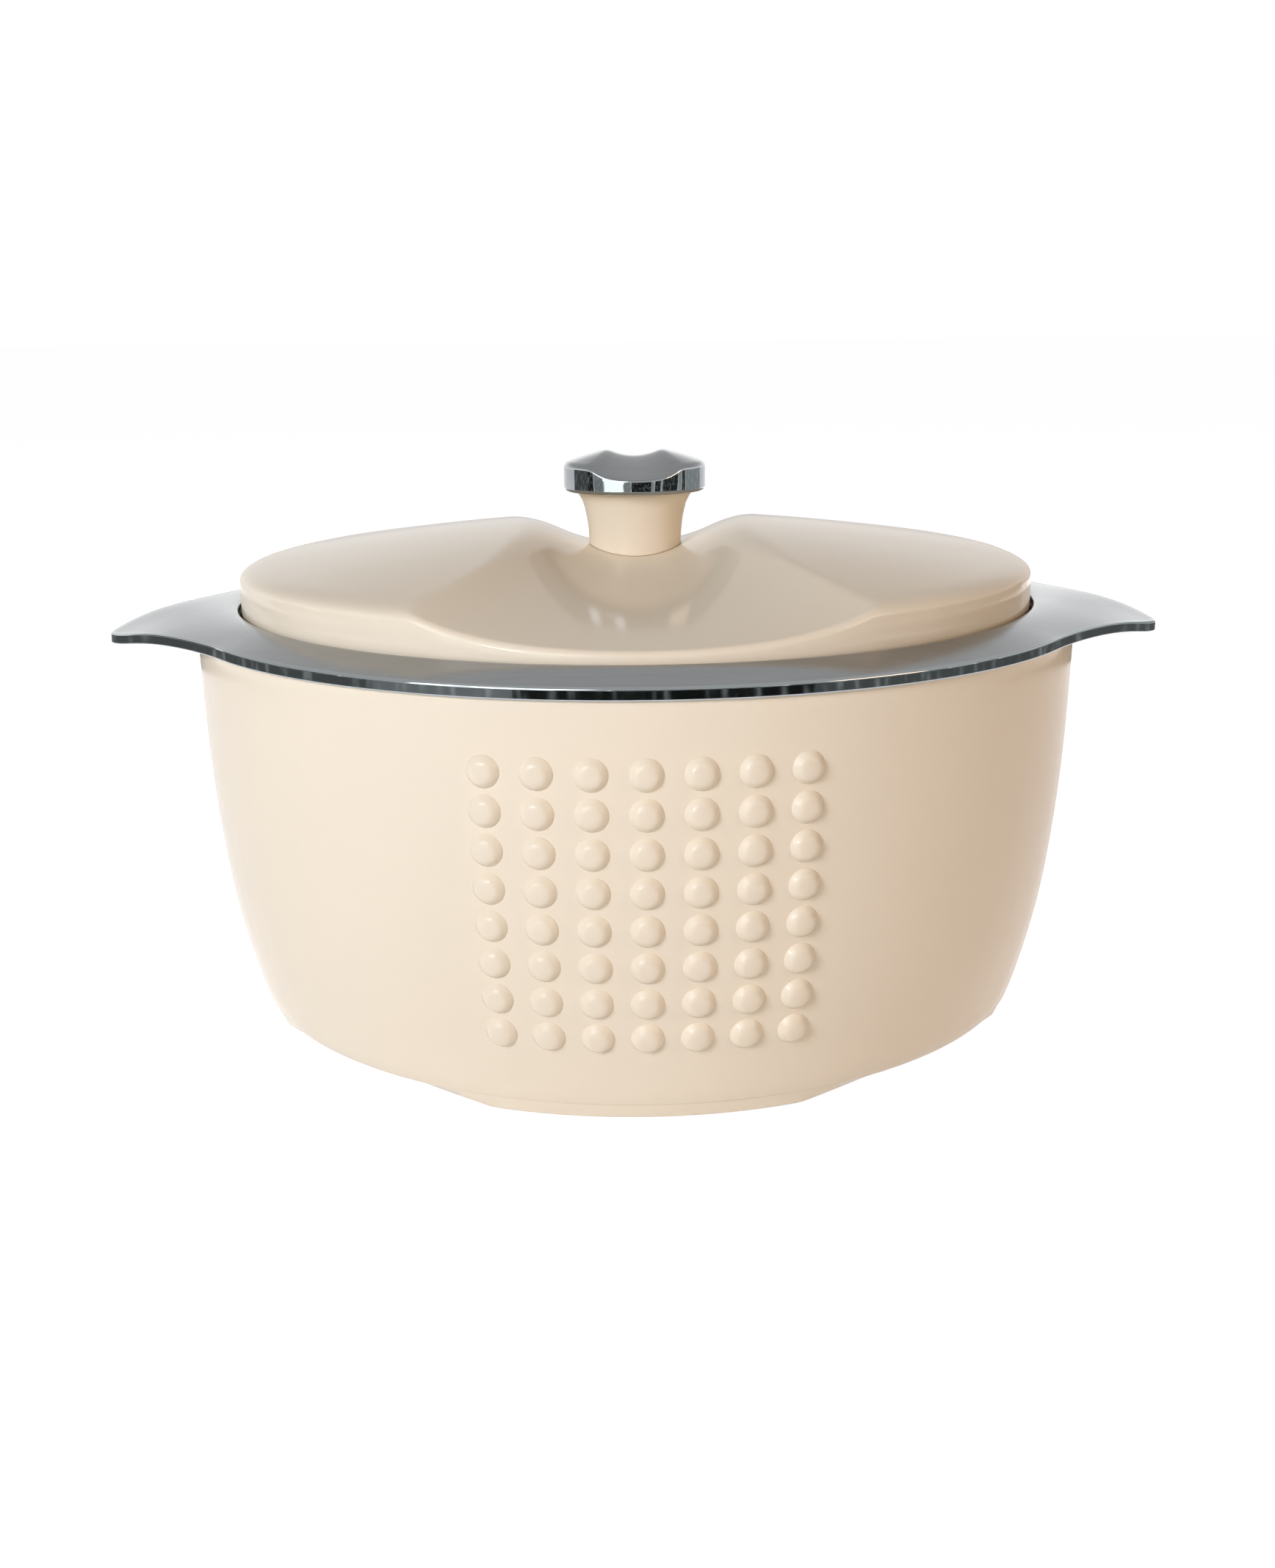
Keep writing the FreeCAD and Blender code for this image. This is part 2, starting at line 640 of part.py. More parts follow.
def knob_insert():
    """Threaded brass sleeve moulded into the stem."""
    return ring(INSERT_INNER_R, INSERT_OUTER_R, INSERT_BOTTOM, INSERT_TOP)


def knob_washer():
    """Wide washer under the screw's head."""
    return ring(KNOB_HOLE_R, WASHER_RADIUS, KNOB_BOSS_BOTTOM - WASHER_THICKNESS, KNOB_BOSS_BOTTOM)


def knob_screw():
    """Machine screw up through washer, boss and lid into the insert."""
    seat = KNOB_BOSS_BOTTOM - WASHER_THICKNESS
    head = cylinder(KNOB_HEAD_R, seat - KNOB_HEAD_HEIGHT, seat)
    return head.fuse(cylinder(KNOB_SCREW_R, seat, KNOB_SCREW_TOP)).removeSplitter()


# ---------------------------------------------------------------- all pieces

os.makedirs("parts", exist_ok=True)

room_over_wall = rim_slab(RIM_THICKNESS + FIT, 4 * RIM_THICKNESS)
save("outer_shell", outer_shell(room_over_wall))
save("rim_plate", rim_plate())
save("rim_screws", pan_screws(rim_screw_places(), FLANGE_TOP - FLANGE_THICKNESS, SEAT_Z - RIM_THICKNESS))
save("inner_bowl", inner_bowl())
save("bowl_collar", bowl_collar())
save("body_foam", body_foam())
save("base_plate", base_plate())
save("base_screws", pan_screws(base_screw_places(), SHELL_BOTTOM, BASE_BOSS_TOP - 4))
save("filler_plug", filler_plug())
for side, direction in (("front", 270), ("right", 0), ("back", 90), ("left", 180)):
    save("foot_pad_" + side, pad_sector(0, PAD_HALF_ANGLE, 0, PAD_THICKNESS, direction))

save("lid_shell", lid_shell())
save("lid_foam", lid_foam())
save("lid_liner", lid_liner())
save("lid_ring", lid_ring())
save("lid_gasket", lid_gasket())
save("knob_stem", knob_stem())
save("knob_cap", knob_cap())
save("knob_insert", knob_insert())
save("knob_washer", knob_washer())
save("knob_screw", knob_screw())
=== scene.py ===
import bmesh
import bpy
import math
import numpy
from mathutils import Matrix, Quaternion, Vector
from mathutils.geometry import interpolate_bezier


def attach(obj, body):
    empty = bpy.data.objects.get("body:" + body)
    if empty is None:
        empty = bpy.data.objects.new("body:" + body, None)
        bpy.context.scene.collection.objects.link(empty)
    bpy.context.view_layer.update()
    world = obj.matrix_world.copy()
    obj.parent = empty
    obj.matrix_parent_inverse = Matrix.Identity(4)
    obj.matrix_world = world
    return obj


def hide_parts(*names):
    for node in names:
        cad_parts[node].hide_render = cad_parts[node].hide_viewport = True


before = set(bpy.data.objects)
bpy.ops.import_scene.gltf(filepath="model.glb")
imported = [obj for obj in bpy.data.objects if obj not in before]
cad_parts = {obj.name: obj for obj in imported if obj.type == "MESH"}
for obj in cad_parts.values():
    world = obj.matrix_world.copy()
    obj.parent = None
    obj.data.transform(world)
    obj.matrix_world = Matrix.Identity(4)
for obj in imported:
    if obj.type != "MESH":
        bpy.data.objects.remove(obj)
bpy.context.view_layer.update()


# ---------------------------------------------------------------- outer shell
# The pot's body: one injection-moulded shell of glossy cream plastic. It has a
# flange at the top for the bowl and the rim plate, a ledge near the foot for the
# base plate, and a block of raised dots on the front and on the back.

MM = 0.001
WALL_POINTS = [(119.0, 0.0), (123.2, 11.5), (128.8, 34.5), (132.3, 60.0), (134.4, 88.0), (135.4, 124.0)]
WALL_THICKNESS = 2.5
SHELL_BOTTOM = 5.0
SHELL_SEAM = 119.0
SEAM_MARK = 1
SHELL_OUTER_BANDS = 34
SHELL_INNER_BANDS = 12
FLANGE = {"inner": 114.0, "bottom": 116.0, "top": 118.5}
LEDGE = {"inner": 104.0, "bottom": 7.5, "top": 10.0}
DOT_LINE = [
    (0, -0.6), (4.5, -0.6), (4.5, -0.04), (4.2, 0.36), (3.7, 0.98),
    (3.2, 1.5), (2.7, 1.86), (1.9, 2.03), (0, 2.05),
]
DOT_STEPS = 20
DOT_COLUMNS = 7
DOT_ROWS = 8
DOT_ANGLE_PITCH = 5.87
DOT_ROW_PITCH = 10.41
DOT_TOP_Z = 99.6
RIM_INNER_R = 123.0
RIM_OUTER_R = 136.5
RIM_TOP_Z = 125.2
RIM_THICKNESS = 3.4
RIM_FALL = 3.4
WING_REACH = 29.5
WING_SPREAD = 30.0
WING_TAPER = 1.9
WING_TIP_ROUND = 1.2
WING_FALL = 7.1
WING_FALL_SPREAD = 10.0
WING_SAG = 1.5
FIT = 0.25
ROUND_STEPS = 360
CREAM = (0.88, 0.785, 0.645, 1)
RELIEF_DEPTH = 0.0003
FINISH_OUTPUTS = {"Color": "NodeSocketColor", "Roughness": "NodeSocketFloat", "Height": "NodeSocketFloat"}


def smooth_line(points, per_span=12):
    """Closely spaced points on a smooth line through the given ones."""
    spots = [Vector(point) for point in points]
    line = [spots[0]]
    for index in range(len(spots) - 1):
        start, end = spots[index], spots[index + 1]
        before = spots[max(index - 1, 0)]
        after = spots[min(index + 2, len(spots) - 1)]
        lead = start + (end - before) / 6
        follow = end - (after - start) / 6
        line += interpolate_bezier(start, lead, follow, end, per_span + 1)[1:]
    return line


WALL_LINE = smooth_line(WALL_POINTS)


def wall_radius(z):
    """Outer radius of the pot's wall at a height."""
    return float(numpy.interp(z, [spot.y for spot in WALL_LINE], [spot.x for spot in WALL_LINE]))


def wing_angle(x, y):
    """Degrees round the pot from the axis of the nearer wing handle."""
    return math.degrees(math.atan2(abs(y), abs(x)))


def plate_edge(degrees):
    """Outer radius of the rim plate, which runs out into the wings."""
    soft = math.hypot(degrees, WING_TIP_ROUND) - WING_TIP_ROUND
    return RIM_OUTER_R + WING_REACH * max(0.0, 1 - soft / WING_SPREAD) ** WING_TAPER


def plate_height(degrees, radius):
    """Height of the rim plate's top face: it falls outwards, most on a wing."""
    bell = 1 / (1 + (degrees / WING_FALL_SPREAD) ** 2)
    share = max(0.0, (radius - RIM_INNER_R) / (plate_edge(degrees) - RIM_INNER_R))
    return RIM_TOP_Z - (RIM_FALL + WING_FALL * bell) * share ** (1 + WING_SAG * bell)


def lathe(line, steps, closed=True):
    """A mesh turned about the pot's axis from (radius, height) or (radius, height, mark)."""
    bm = bmesh.new()
    mark = bm.verts.layers.float.new("mark")
    verts = []
    for spot in line:
        vert = bm.verts.new((spot[0], 0, spot[1]))
        vert[mark] = spot[2] if len(spot) > 2 else 0.0
        verts.append(vert)
    edges = [bm.edges.new(pair) for pair in zip(verts, verts[1:])]
    if closed:
        edges.append(bm.edges.new((verts[-1], verts[0])))
    turn = {"cent": (0, 0, 0), "axis": (0, 0, 1), "angle": math.tau}
    bmesh.ops.spin(bm, geom=verts + edges, steps=steps, use_merge=True, **turn)
    bmesh.ops.remove_doubles(bm, verts=bm.verts, dist=1e-4)
    bmesh.ops.recalc_face_normals(bm, faces=bm.faces)
    return bm


def finish_piece(name, bm, material, body, nodes, sharp=35):
    """Turns a mesh in millimetres into a shaded piece that stands for CAD nodes."""
    mesh = bpy.data.meshes.new(name)
    bmesh.ops.transform(bm, matrix=Matrix.Scale(MM, 4), verts=bm.verts)
    bm.to_mesh(mesh)
    bm.free()
    mesh.shade_smooth()
    mesh.set_sharp_from_angle(angle=math.radians(sharp))
    mesh.materials.append(material)
    piece = bpy.data.objects.new(name, mesh)
    bpy.context.scene.collection.objects.link(piece)
    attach(piece, body)
    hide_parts(*nodes)


def put(tree, kind, inputs=None, **settings):
    """Adds a shader node and sets its inputs to values or joins them to sockets."""
    node = tree.nodes.new(kind)
    for name, value in settings.items():
        setattr(node, name, value)
    for key, value in (inputs or {}).items():
        if isinstance(value, bpy.types.NodeSocket):
            tree.links.new(value, node.inputs[key])
        else:
            node.inputs[key].default_value = value
    return node


def ranged(tree, value, start, end, low, high, curve="LINEAR"):
    """Maps start..end of a value to low..high, and holds it there outside."""
    inputs = {0: value, 1: start, 2: end, 3: low, 4: high}
    return put(tree, "ShaderNodeMapRange", inputs, interpolation_type=curve).outputs[0]


def noise(tree, place, scale, detail, roughness=0.5):
    """A cloudy pattern from 0 to 1, with so many clouds per metre."""
    inputs = {"Vector": place, "Scale": scale, "Detail": detail, "Roughness": roughness}
    return put(tree, "ShaderNodeTexNoise", inputs).outputs[0]


def combined(tree, operation, first, second):
    """Two values added, multiplied or compared."""
    return put(tree, "ShaderNodeMath", {0: first, 1: second}, operation=operation).outputs[0]


def mixed(tree, share, first, second):
    """The colour at a share of the way from the first to the second."""
    return put(tree, "ShaderNodeMix", {0: share, 6: first, 7: second}, data_type="RGBA").outputs[2]


def toned(tree, color, pattern, amount):
    """A colour that is darker by up to an amount where a pattern is low."""
    low = combined(tree, "SUBTRACT", 1.0, amount)
    tone = ranged(tree, pattern, 0.3, 0.7, low, 1.0)
    return put(tree, "ShaderNodeHueSaturation", {"Color": color, "Value": tone}).outputs[0]


def finish_group(name, inputs):
    """An empty shader group for a finish: (tree, its inputs, the object's coordinates)."""
    tree = bpy.data.node_groups.new(name, "ShaderNodeTree")
    for label, value in inputs.items():
        kind = "NodeSocketColor" if isinstance(value, tuple) else "NodeSocketFloat"
        tree.interface.new_socket(name=label, in_out="INPUT", socket_type=kind).default_value = value
    for label, kind in FINISH_OUTPUTS.items():
        tree.interface.new_socket(name=label, in_out="OUTPUT", socket_type=kind)
    given = tree.nodes.new("NodeGroupInput").outputs
    return tree, given, put(tree, "ShaderNodeTexCoord").outputs["Object"]


def close_group(tree, color, roughness, height):
    """Joins what a finish makes to its group's output."""
    result = tree.nodes.new("NodeGroupOutput")
    for label, socket in zip(FINISH_OUTPUTS, (color, roughness, height)):
        tree.links.new(socket, result.inputs[label])
    return tree


def make_moulded_skin():
    """Injection-moulded skin: faint flow tint, handling smudges and orange peel."""
    tree, given, place = finish_group("moulded_skin", {
        "Color": (1, 1, 1, 1), "Tint": 0.03, "Roughness": 0.3, "Smudge": 0.06, "Peel Scale": 400,
    })
    flow = noise(tree, place, scale=14, detail=3)
    color = toned(tree, given["Color"], flow, given["Tint"])
    touch = noise(tree, place, scale=45, detail=5, roughness=0.65)
    smudge = ranged(tree, touch, 0.35, 0.75, 0.0, given["Smudge"])
    roughness = combined(tree, "ADD", given["Roughness"], smudge)
    peel = noise(tree, place, scale=given["Peel Scale"], detail=2)
    return close_group(tree, color, roughness, peel)


def finish_material(name, group, values, bump, **constants):
    """A Principled material fed by one surface group, with its fixed settings on its own sockets."""
    material = bpy.data.materials.new(name)
    material.use_nodes = True
    tree = material.node_tree
    shader = tree.nodes["Principled BSDF"]
    surface = put(tree, "ShaderNodeGroup", values, node_tree=group)
    bumps = {"Strength": bump, "Distance": RELIEF_DEPTH, "Height": surface.outputs["Height"]}
    relief = put(tree, "ShaderNodeBump", bumps)
    tree.links.new(surface.outputs["Color"], shader.inputs["Base Color"])
    tree.links.new(surface.outputs["Roughness"], shader.inputs["Roughness"])
    tree.links.new(relief.outputs[0], shader.inputs["Normal"])
    for key, value in constants.items():
        shader.inputs[key.replace("_", " ")].default_value = value
    return material


moulded_skin = make_moulded_skin()
cream_plastic = finish_material(
    "glossy_cream_plastic",
    moulded_skin,
    {"Color": CREAM, "Tint": 0.025, "Roughness": 0.4, "Smudge": 0.06, "Peel Scale": 260},
    bump=0.02,
    Coat_Weight=0.6,
    Coat_Roughness=0.1,
    Specular_IOR_Level=0.0,
)


def build_outer_shell():
    """The wall with its flange and ledge, and the dots wrapped onto it."""
    outer_z = numpy.linspace(SHELL_BOTTOM + 0.5, SHELL_SEAM - 1.5, SHELL_OUTER_BANDS)
    inner_z = numpy.linspace(FLANGE["bottom"], LEDGE["top"], SHELL_INNER_BANDS)
    top_r = wall_radius(SHELL_SEAM + 1)
    foot_r = wall_radius(SHELL_BOTTOM)
    ledge_r = wall_radius(LEDGE["bottom"]) - WALL_THICKNESS
    line = [(foot_r - 0.45, SHELL_BOTTOM), (foot_r - 0.1, SHELL_BOTTOM + 0.15)]
    line += [(wall_radius(z), z) for z in outer_z]
    line += [(top_r, SHELL_SEAM, SEAM_MARK), (top_r - WALL_THICKNESS, SHELL_SEAM, SEAM_MARK)]
    line += [(top_r - WALL_THICKNESS, FLANGE["top"]), (FLANGE["inner"], FLANGE["top"])]
    line += [(FLANGE["inner"], FLANGE["bottom"])]
    line += [(wall_radius(z) - WALL_THICKNESS, z) for z in inner_z]
    line += [(LEDGE["inner"], LEDGE["top"]), (LEDGE["inner"], LEDGE["bottom"])]
    line += [(ledge_r, LEDGE["bottom"]), (foot_r - WALL_THICKNESS, SHELL_BOTTOM)]
    bm = lathe(line, ROUND_STEPS)
    mark = bm.verts.layers.float["mark"]
    for vert in bm.verts:
        if vert[mark] == SEAM_MARK:
            radius = math.hypot(vert.co.x, vert.co.y)
            under_plate = plate_height(wing_angle(vert.co.x, vert.co.y), radius) - RIM_THICKNESS
            vert.co.z = under_plate - FIT

    dot = bpy.data.meshes.new("dot")
    dot_bm = lathe(DOT_LINE, DOT_STEPS, closed=False)
    dot_bm.to_mesh(dot)
    dot_bm.free()
    for middle in (-90, 90):
        for column in range(DOT_COLUMNS):
            angle = math.radians(middle + (column - (DOT_COLUMNS - 1) / 2) * DOT_ANGLE_PITCH)
            for row in range(DOT_ROWS):
                height = DOT_TOP_Z - row * DOT_ROW_PITCH
                first = len(bm.verts)
                bm.from_mesh(dot)
                bm.verts.ensure_lookup_table()
                for vert in bm.verts[first:]:
                    across, up, out = vert.co
                    z = height + up
                    lean = (wall_radius(z + 1) - wall_radius(z - 1)) / 2
                    radius = wall_radius(z) + out
                    turn = angle + across / radius
                    vert.co = (radius * math.cos(turn), radius * math.sin(turn), z - lean * out)
    bpy.data.meshes.remove(dot)
    return bm


shell = build_outer_shell()
finish_piece(
    "outer_shell_moulding", shell, cream_plastic, "base", ["outer_shell"], sharp=50
)


# ---------------------------------------------------------------- rim plate
# One ring of metallised ABS whose two ends run out into wing handles. Its top is
# satin and its outer edge is polished. A lip under its opening stands on the
# shell's flange, where four screws from below hold it.

RIM_EDGE_ZONE = 1.8
RIM_EDGE_FLAT = 1.2
RIM_EDGE_ROUND = 0.5
RIM_BANDS = 14
RIM_UNDER_BANDS = 8
WING_STEPS_SHARE = 0.85
POLISHED = 1
LIP = {"inner": 123.25, "outer": 125.45, "bottom": FLANGE["top"], "top": 122.5}
LIP_STEPS = 180
SATIN_METAL = (0.286, 0.298, 0.307, 1)
POLISHED_METAL = (0.36, 0.385, 0.395, 1)


def make_satin_metal():
    """Metallised surface: satin with fine streaks, and polished where Polish is 1."""
    tree, given, place = finish_group("satin_metal", {
        "Color": (1, 1, 1, 1), "Polished Color": (1, 1, 1, 1), "Polish": 0.0,
        "Roughness": 0.3, "Polished Roughness": 0.08, "Streak": 0.08,
    })
    drawn = put(tree, "ShaderNodeMapping", {"Vector": place, "Scale": (30, 900, 900)}).outputs[0]
    streaks = noise(tree, drawn, scale=1.0, detail=3)
    satin = toned(tree, given["Color"], streaks, given["Streak"])
    color = mixed(tree, given["Polish"], satin, given["Polished Color"])
    clouds = noise(tree, place, scale=25, detail=3)
    haze = ranged(tree, clouds, 0.35, 0.7, 0.0, 0.06)
    satin_rough = combined(tree, "ADD", given["Roughness"], haze)
    finishes = {0: given["Polish"], 2: satin_rough, 3: given["Polished Roughness"]}
    roughness = put(tree, "ShaderNodeMix", finishes).outputs[0]
    unpolished = combined(tree, "SUBTRACT", 1.0, given["Polish"])
    return close_group(tree, color, roughness, combined(tree, "MULTIPLY", streaks, unpolished))


metallised = finish_material(
    "metallised_plastic",
    make_satin_metal(),
    {
        "Color": SATIN_METAL, "Roughness": 0.15,
        "Polished Color": POLISHED_METAL, "Polished Roughness": 0.05,
    },
    bump=0.02,
    Metallic=1.0,
)
mask = put(metallised.node_tree, "ShaderNodeAttribute", attribute_name="mark")
surface = next(node for node in metallised.node_tree.nodes if node.type == "GROUP")
metallised.node_tree.links.new(mask.outputs["Fac"], surface.inputs["Polish"])


def build_rim_plate():
    """A round plate with a rounded edge, then pulled out to the wings and bent down."""
    zone_r = RIM_OUTER_R - RIM_EDGE_ZONE
    flat_r = RIM_OUTER_R - RIM_EDGE_FLAT
    top = [(r, 0) for r in numpy.linspace(RIM_INNER_R + 0.5, zone_r, RIM_BANDS)] + [(flat_r, 0)]
    edge = []
    for degrees in range(0, 91, 15):
        inwards = RIM_EDGE_ROUND * (1 - math.sin(math.radians(degrees)))
        down = RIM_EDGE_ROUND * (1 - math.cos(math.radians(degrees)))
        edge.append((RIM_OUTER_R - inwards, -down, POLISHED))
    edge.append((RIM_OUTER_R, -RIM_EDGE_ROUND - 0.1, POLISHED))
    low_edge = [(r, -RIM_THICKNESS - z, POLISHED) for r, z, _ in reversed(edge)]
    under_r = numpy.linspace(zone_r - 1, RIM_INNER_R + 0.3, RIM_UNDER_BANDS)
    under = [(r, -RIM_THICKNESS) for r in (flat_r, zone_r, *under_r)]
    opening = [(RIM_INNER_R, -RIM_THICKNESS + 0.3), (RIM_INNER_R, -0.5), (RIM_INNER_R + 0.15, -0.15)]
    bm = lathe(top + edge + low_edge + under + opening, ROUND_STEPS)
    for vert in bm.verts:
        radius = math.hypot(vert.co.x, vert.co.y)
        angle = math.atan2(vert.co.y, vert.co.x)
        angle -= WING_STEPS_SHARE * math.sin(2 * angle) / 2
        degrees = wing_angle(math.cos(angle), math.sin(angle))
        reach = plate_edge(degrees)
        if radius > zone_r:
            radius = reach - (RIM_OUTER_R - radius)
        else:
            share = (radius - RIM_INNER_R) / (zone_r - RIM_INNER_R)
            radius = RIM_INNER_R + share * (reach - RIM_EDGE_ZONE - RIM_INNER_R)
        z = plate_height(degrees, radius) + vert.co.z
        vert.co = (radius * math.cos(angle), radius * math.sin(angle), z)
    lip_line = [(LIP["inner"], LIP["bottom"]), (LIP["outer"], LIP["bottom"])]
    lip_line += [(LIP["outer"], LIP["top"]), (LIP["inner"], LIP["top"])]
    lip = lathe(lip_line, LIP_STEPS)
    lip_mesh = bpy.data.meshes.new("lip")
    lip.to_mesh(lip_mesh)
    lip.free()
    bm.from_mesh(lip_mesh)
    bpy.data.meshes.remove(lip_mesh)
    return bm


plate = build_rim_plate()
finish_piece(
    "rim_plate_metallised", plate, metallised, "base", ["rim_plate"], sharp=50
)


# ---------------------------------------------------------------- rim screws
# Four zinc-plated self-tapping screws under the shell's flange, driven up into
# the rim plate. They are covered by the foam.

ZINC = (0.42, 0.43, 0.44, 1)


def make_plated_metal():
    """Plated metal with a crystalline mottle."""
    tree, given, place = finish_group("plated_metal", {
        "Color": (1, 1, 1, 1), "Roughness": 0.35, "Mottle": 0.2,
    })
    grains = put(tree, "ShaderNodeTexVoronoi", {"Vector": place, "Scale": 1600}).outputs["Distance"]
    clouds = noise(tree, place, scale=500, detail=4)
    color = toned(tree, given["Color"], clouds, given["Mottle"])
    dull = ranged(tree, clouds, 0.3, 0.7, 0.0, 0.12)
    return close_group(tree, color, combined(tree, "ADD", given["Roughness"], dull), grains)


plated_metal = make_plated_metal()
zinc_plate = finish_material("zinc_plate", plated_metal, {"Color": ZINC}, bump=0.1, Metallic=1.0)


def dress_node(name, material):
    """Gives a CAD node that stays as it is its finish."""
    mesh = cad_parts[name].data
    mesh.materials.clear()
    mesh.materials.append(material)


dress_node("rim_screws", zinc_plate)


# ---------------------------------------------------------------- inner bowl
# Spun from 0.6 mm stainless steel sheet, with a flared mouth and a flat lip that
# rests on the shell's flange. Its inside is brushed in rings on the lathe.

STEEL = 0.6
BOWL_FLOOR_Z = 20.6
BOWL_FOOT_R = 103.0
BOWL_MOUTH_R = 108.0
BOWL_LIP_R = 117.0
BOWL_CORNER = 20.0
BOWL_FLARE = 4.0
BOWL_STEPS = 192
BARE_STEEL = (0.56, 0.56, 0.55, 1)


def rounded(corners, per_round=6):
    """The outline through (radius, height, rounding) corners, with its roundings filled in."""
    line = []
    for index, (radius, z, rounding) in enumerate(corners):
        corner = Vector((radius, z))
        if rounding == 0:
            line.append(corner)
            continue
        back = (Vector(corners[index - 1][:2]) - corner).normalized()
        ahead = (Vector(corners[(index + 1) % len(corners)][:2]) - corner).normalized()
        half = back.angle(ahead) / 2
        centre = corner + (back + ahead).normalized() * (rounding / math.sin(half))
        first = corner + back * (rounding / math.tan(half)) - centre
        last = corner + ahead * (rounding / math.tan(half)) - centre
        sweep = first.angle_signed(last)
        for step in range(per_round + 1):
            line.append(centre + Matrix.Rotation(-sweep * step / per_round, 2) @ first)
    return line


def make_spun_steel():
    """Lathe-spun steel: fine rings about the pot's axis, and a little soft haze."""
    tree, given, place = finish_group("spun_steel", {
        "Color": (1, 1, 1, 1), "Roughness": 0.25, "Ring Scale": 900, "Ring Depth": 0.1,
    })
    plan = put(tree, "ShaderNodeVectorMath", {0: place, 1: (1, 1, 0)}, operation="MULTIPLY").outputs[0]
    radius = put(tree, "ShaderNodeVectorMath", {0: plan}, operation="LENGTH").outputs["Value"]
    height = put(tree, "ShaderNodeSeparateXYZ", {0: place}).outputs["Z"]
    travel = {"W": combined(tree, "ADD", radius, height), "Scale": given["Ring Scale"], "Detail": 4}
    rings = put(tree, "ShaderNodeTexNoise", travel, noise_dimensions="1D").outputs[0]
    color = toned(tree, given["Color"], rings, given["Ring Depth"])
    clouds = noise(tree, place, scale=30, detail=3)
    haze = ranged(tree, clouds, 0.35, 0.7, 0.0, 0.07)
    return close_group(tree, color, combined(tree, "ADD", given["Roughness"], haze), rings)


spun_steel = make_spun_steel()
brushed = {"Color": BARE_STEEL, "Roughness": 0.29}
bowl_steel = finish_material("brushed_steel", spun_steel, brushed, bump=0.12, Metallic=1.0)

lip_top = FLANGE["top"] + STEEL
bowl_line = rounded([
    (0, BOWL_FLOOR_Z, 0),
    (BOWL_FOOT_R, BOWL_FLOOR_Z, BOWL_CORNER),
    (BOWL_MOUTH_R, lip_top, BOWL_FLARE),
    (BOWL_LIP_R, lip_top, 0),
    (BOWL_LIP_R, FLANGE["top"], 0),
    (BOWL_MOUTH_R + STEEL, FLANGE["top"], BOWL_FLARE - STEEL),
    (BOWL_FOOT_R + STEEL, BOWL_FLOOR_Z - STEEL, BOWL_CORNER + STEEL),
    (0, BOWL_FLOOR_Z - STEEL, 0),
], 10)
bowl = lathe(bowl_line, BOWL_STEPS, closed=False)
finish_piece("bowl_spinning", bowl, bowl_steel, "base", ["inner_bowl"])


# ---------------------------------------------------------------- bowl collar
# Moulded ring of the shell's plastic that clamps the bowl's lip against the
# flange. Its top is the ledge on which the lid sits.

COLLAR_INNER_R = 112.3
LEDGE_Z = 121.0
COLLAR_STEPS = 256

over_lip = lip_top + FIT
collar_line = rounded([
    (COLLAR_INNER_R, over_lip, 0),
    (BOWL_LIP_R + FIT, over_lip, 0),
    (BOWL_LIP_R + FIT, FLANGE["top"], 0),
    (RIM_INNER_R - FIT, FLANGE["top"], 0),
    (RIM_INNER_R - FIT, LEDGE_Z, 0.4),
    (COLLAR_INNER_R, LEDGE_Z, 0.8),
], 4)
collar = lathe(collar_line, COLLAR_STEPS)
finish_piece("bowl_collar_ring", collar, cream_plastic, "base", ["bowl_collar"])


# ---------------------------------------------------------------- base plate
# Moulded bottom cover of the same plastic, set into the shell. Four foot lobes
# stand under it, with low arches between them, and two rings stiffen it.

BASE_TOP = 7.5
LOBE_INNER_R = 96.0
LOBE_BOTTOM = 0.4
ARCH_TOP = 5.3
ARCH_HALF_WIDTH = 48.0
ARCH_ANGLES = (47, 133, 227, 313)
ARCH_EDGE_SHARE = 0.25
STIFFENERS = (34.0, 64.0)
STIFFENER_WIDTH = 1.5
STIFFENER_DEPTH = 1.0
FOOT_MARGIN = 0.4
PLUG_HEAD_R = 12.0
PLUG_HEAD_DEPTH = 1.2
PLUG_HOLE_R = 9.1
PLUG_COVER = 0.9


def arch_height(x, y):
    """Height of the arches' undersides above the table, below zero under a lobe."""
    radius = (ARCH_HALF_WIDTH ** 2 + ARCH_TOP ** 2) / (2 * ARCH_TOP)
    heights = []
    for degrees in ARCH_ANGLES:
        turn = math.atan2(y, x) - math.radians(degrees)
        aside = math.hypot(x, y) * math.sin(turn)
        if math.cos(turn) > 0:
            heights.append(ARCH_TOP - radius + math.sqrt(max(0.0, radius ** 2 - aside ** 2)))
    return max(heights)


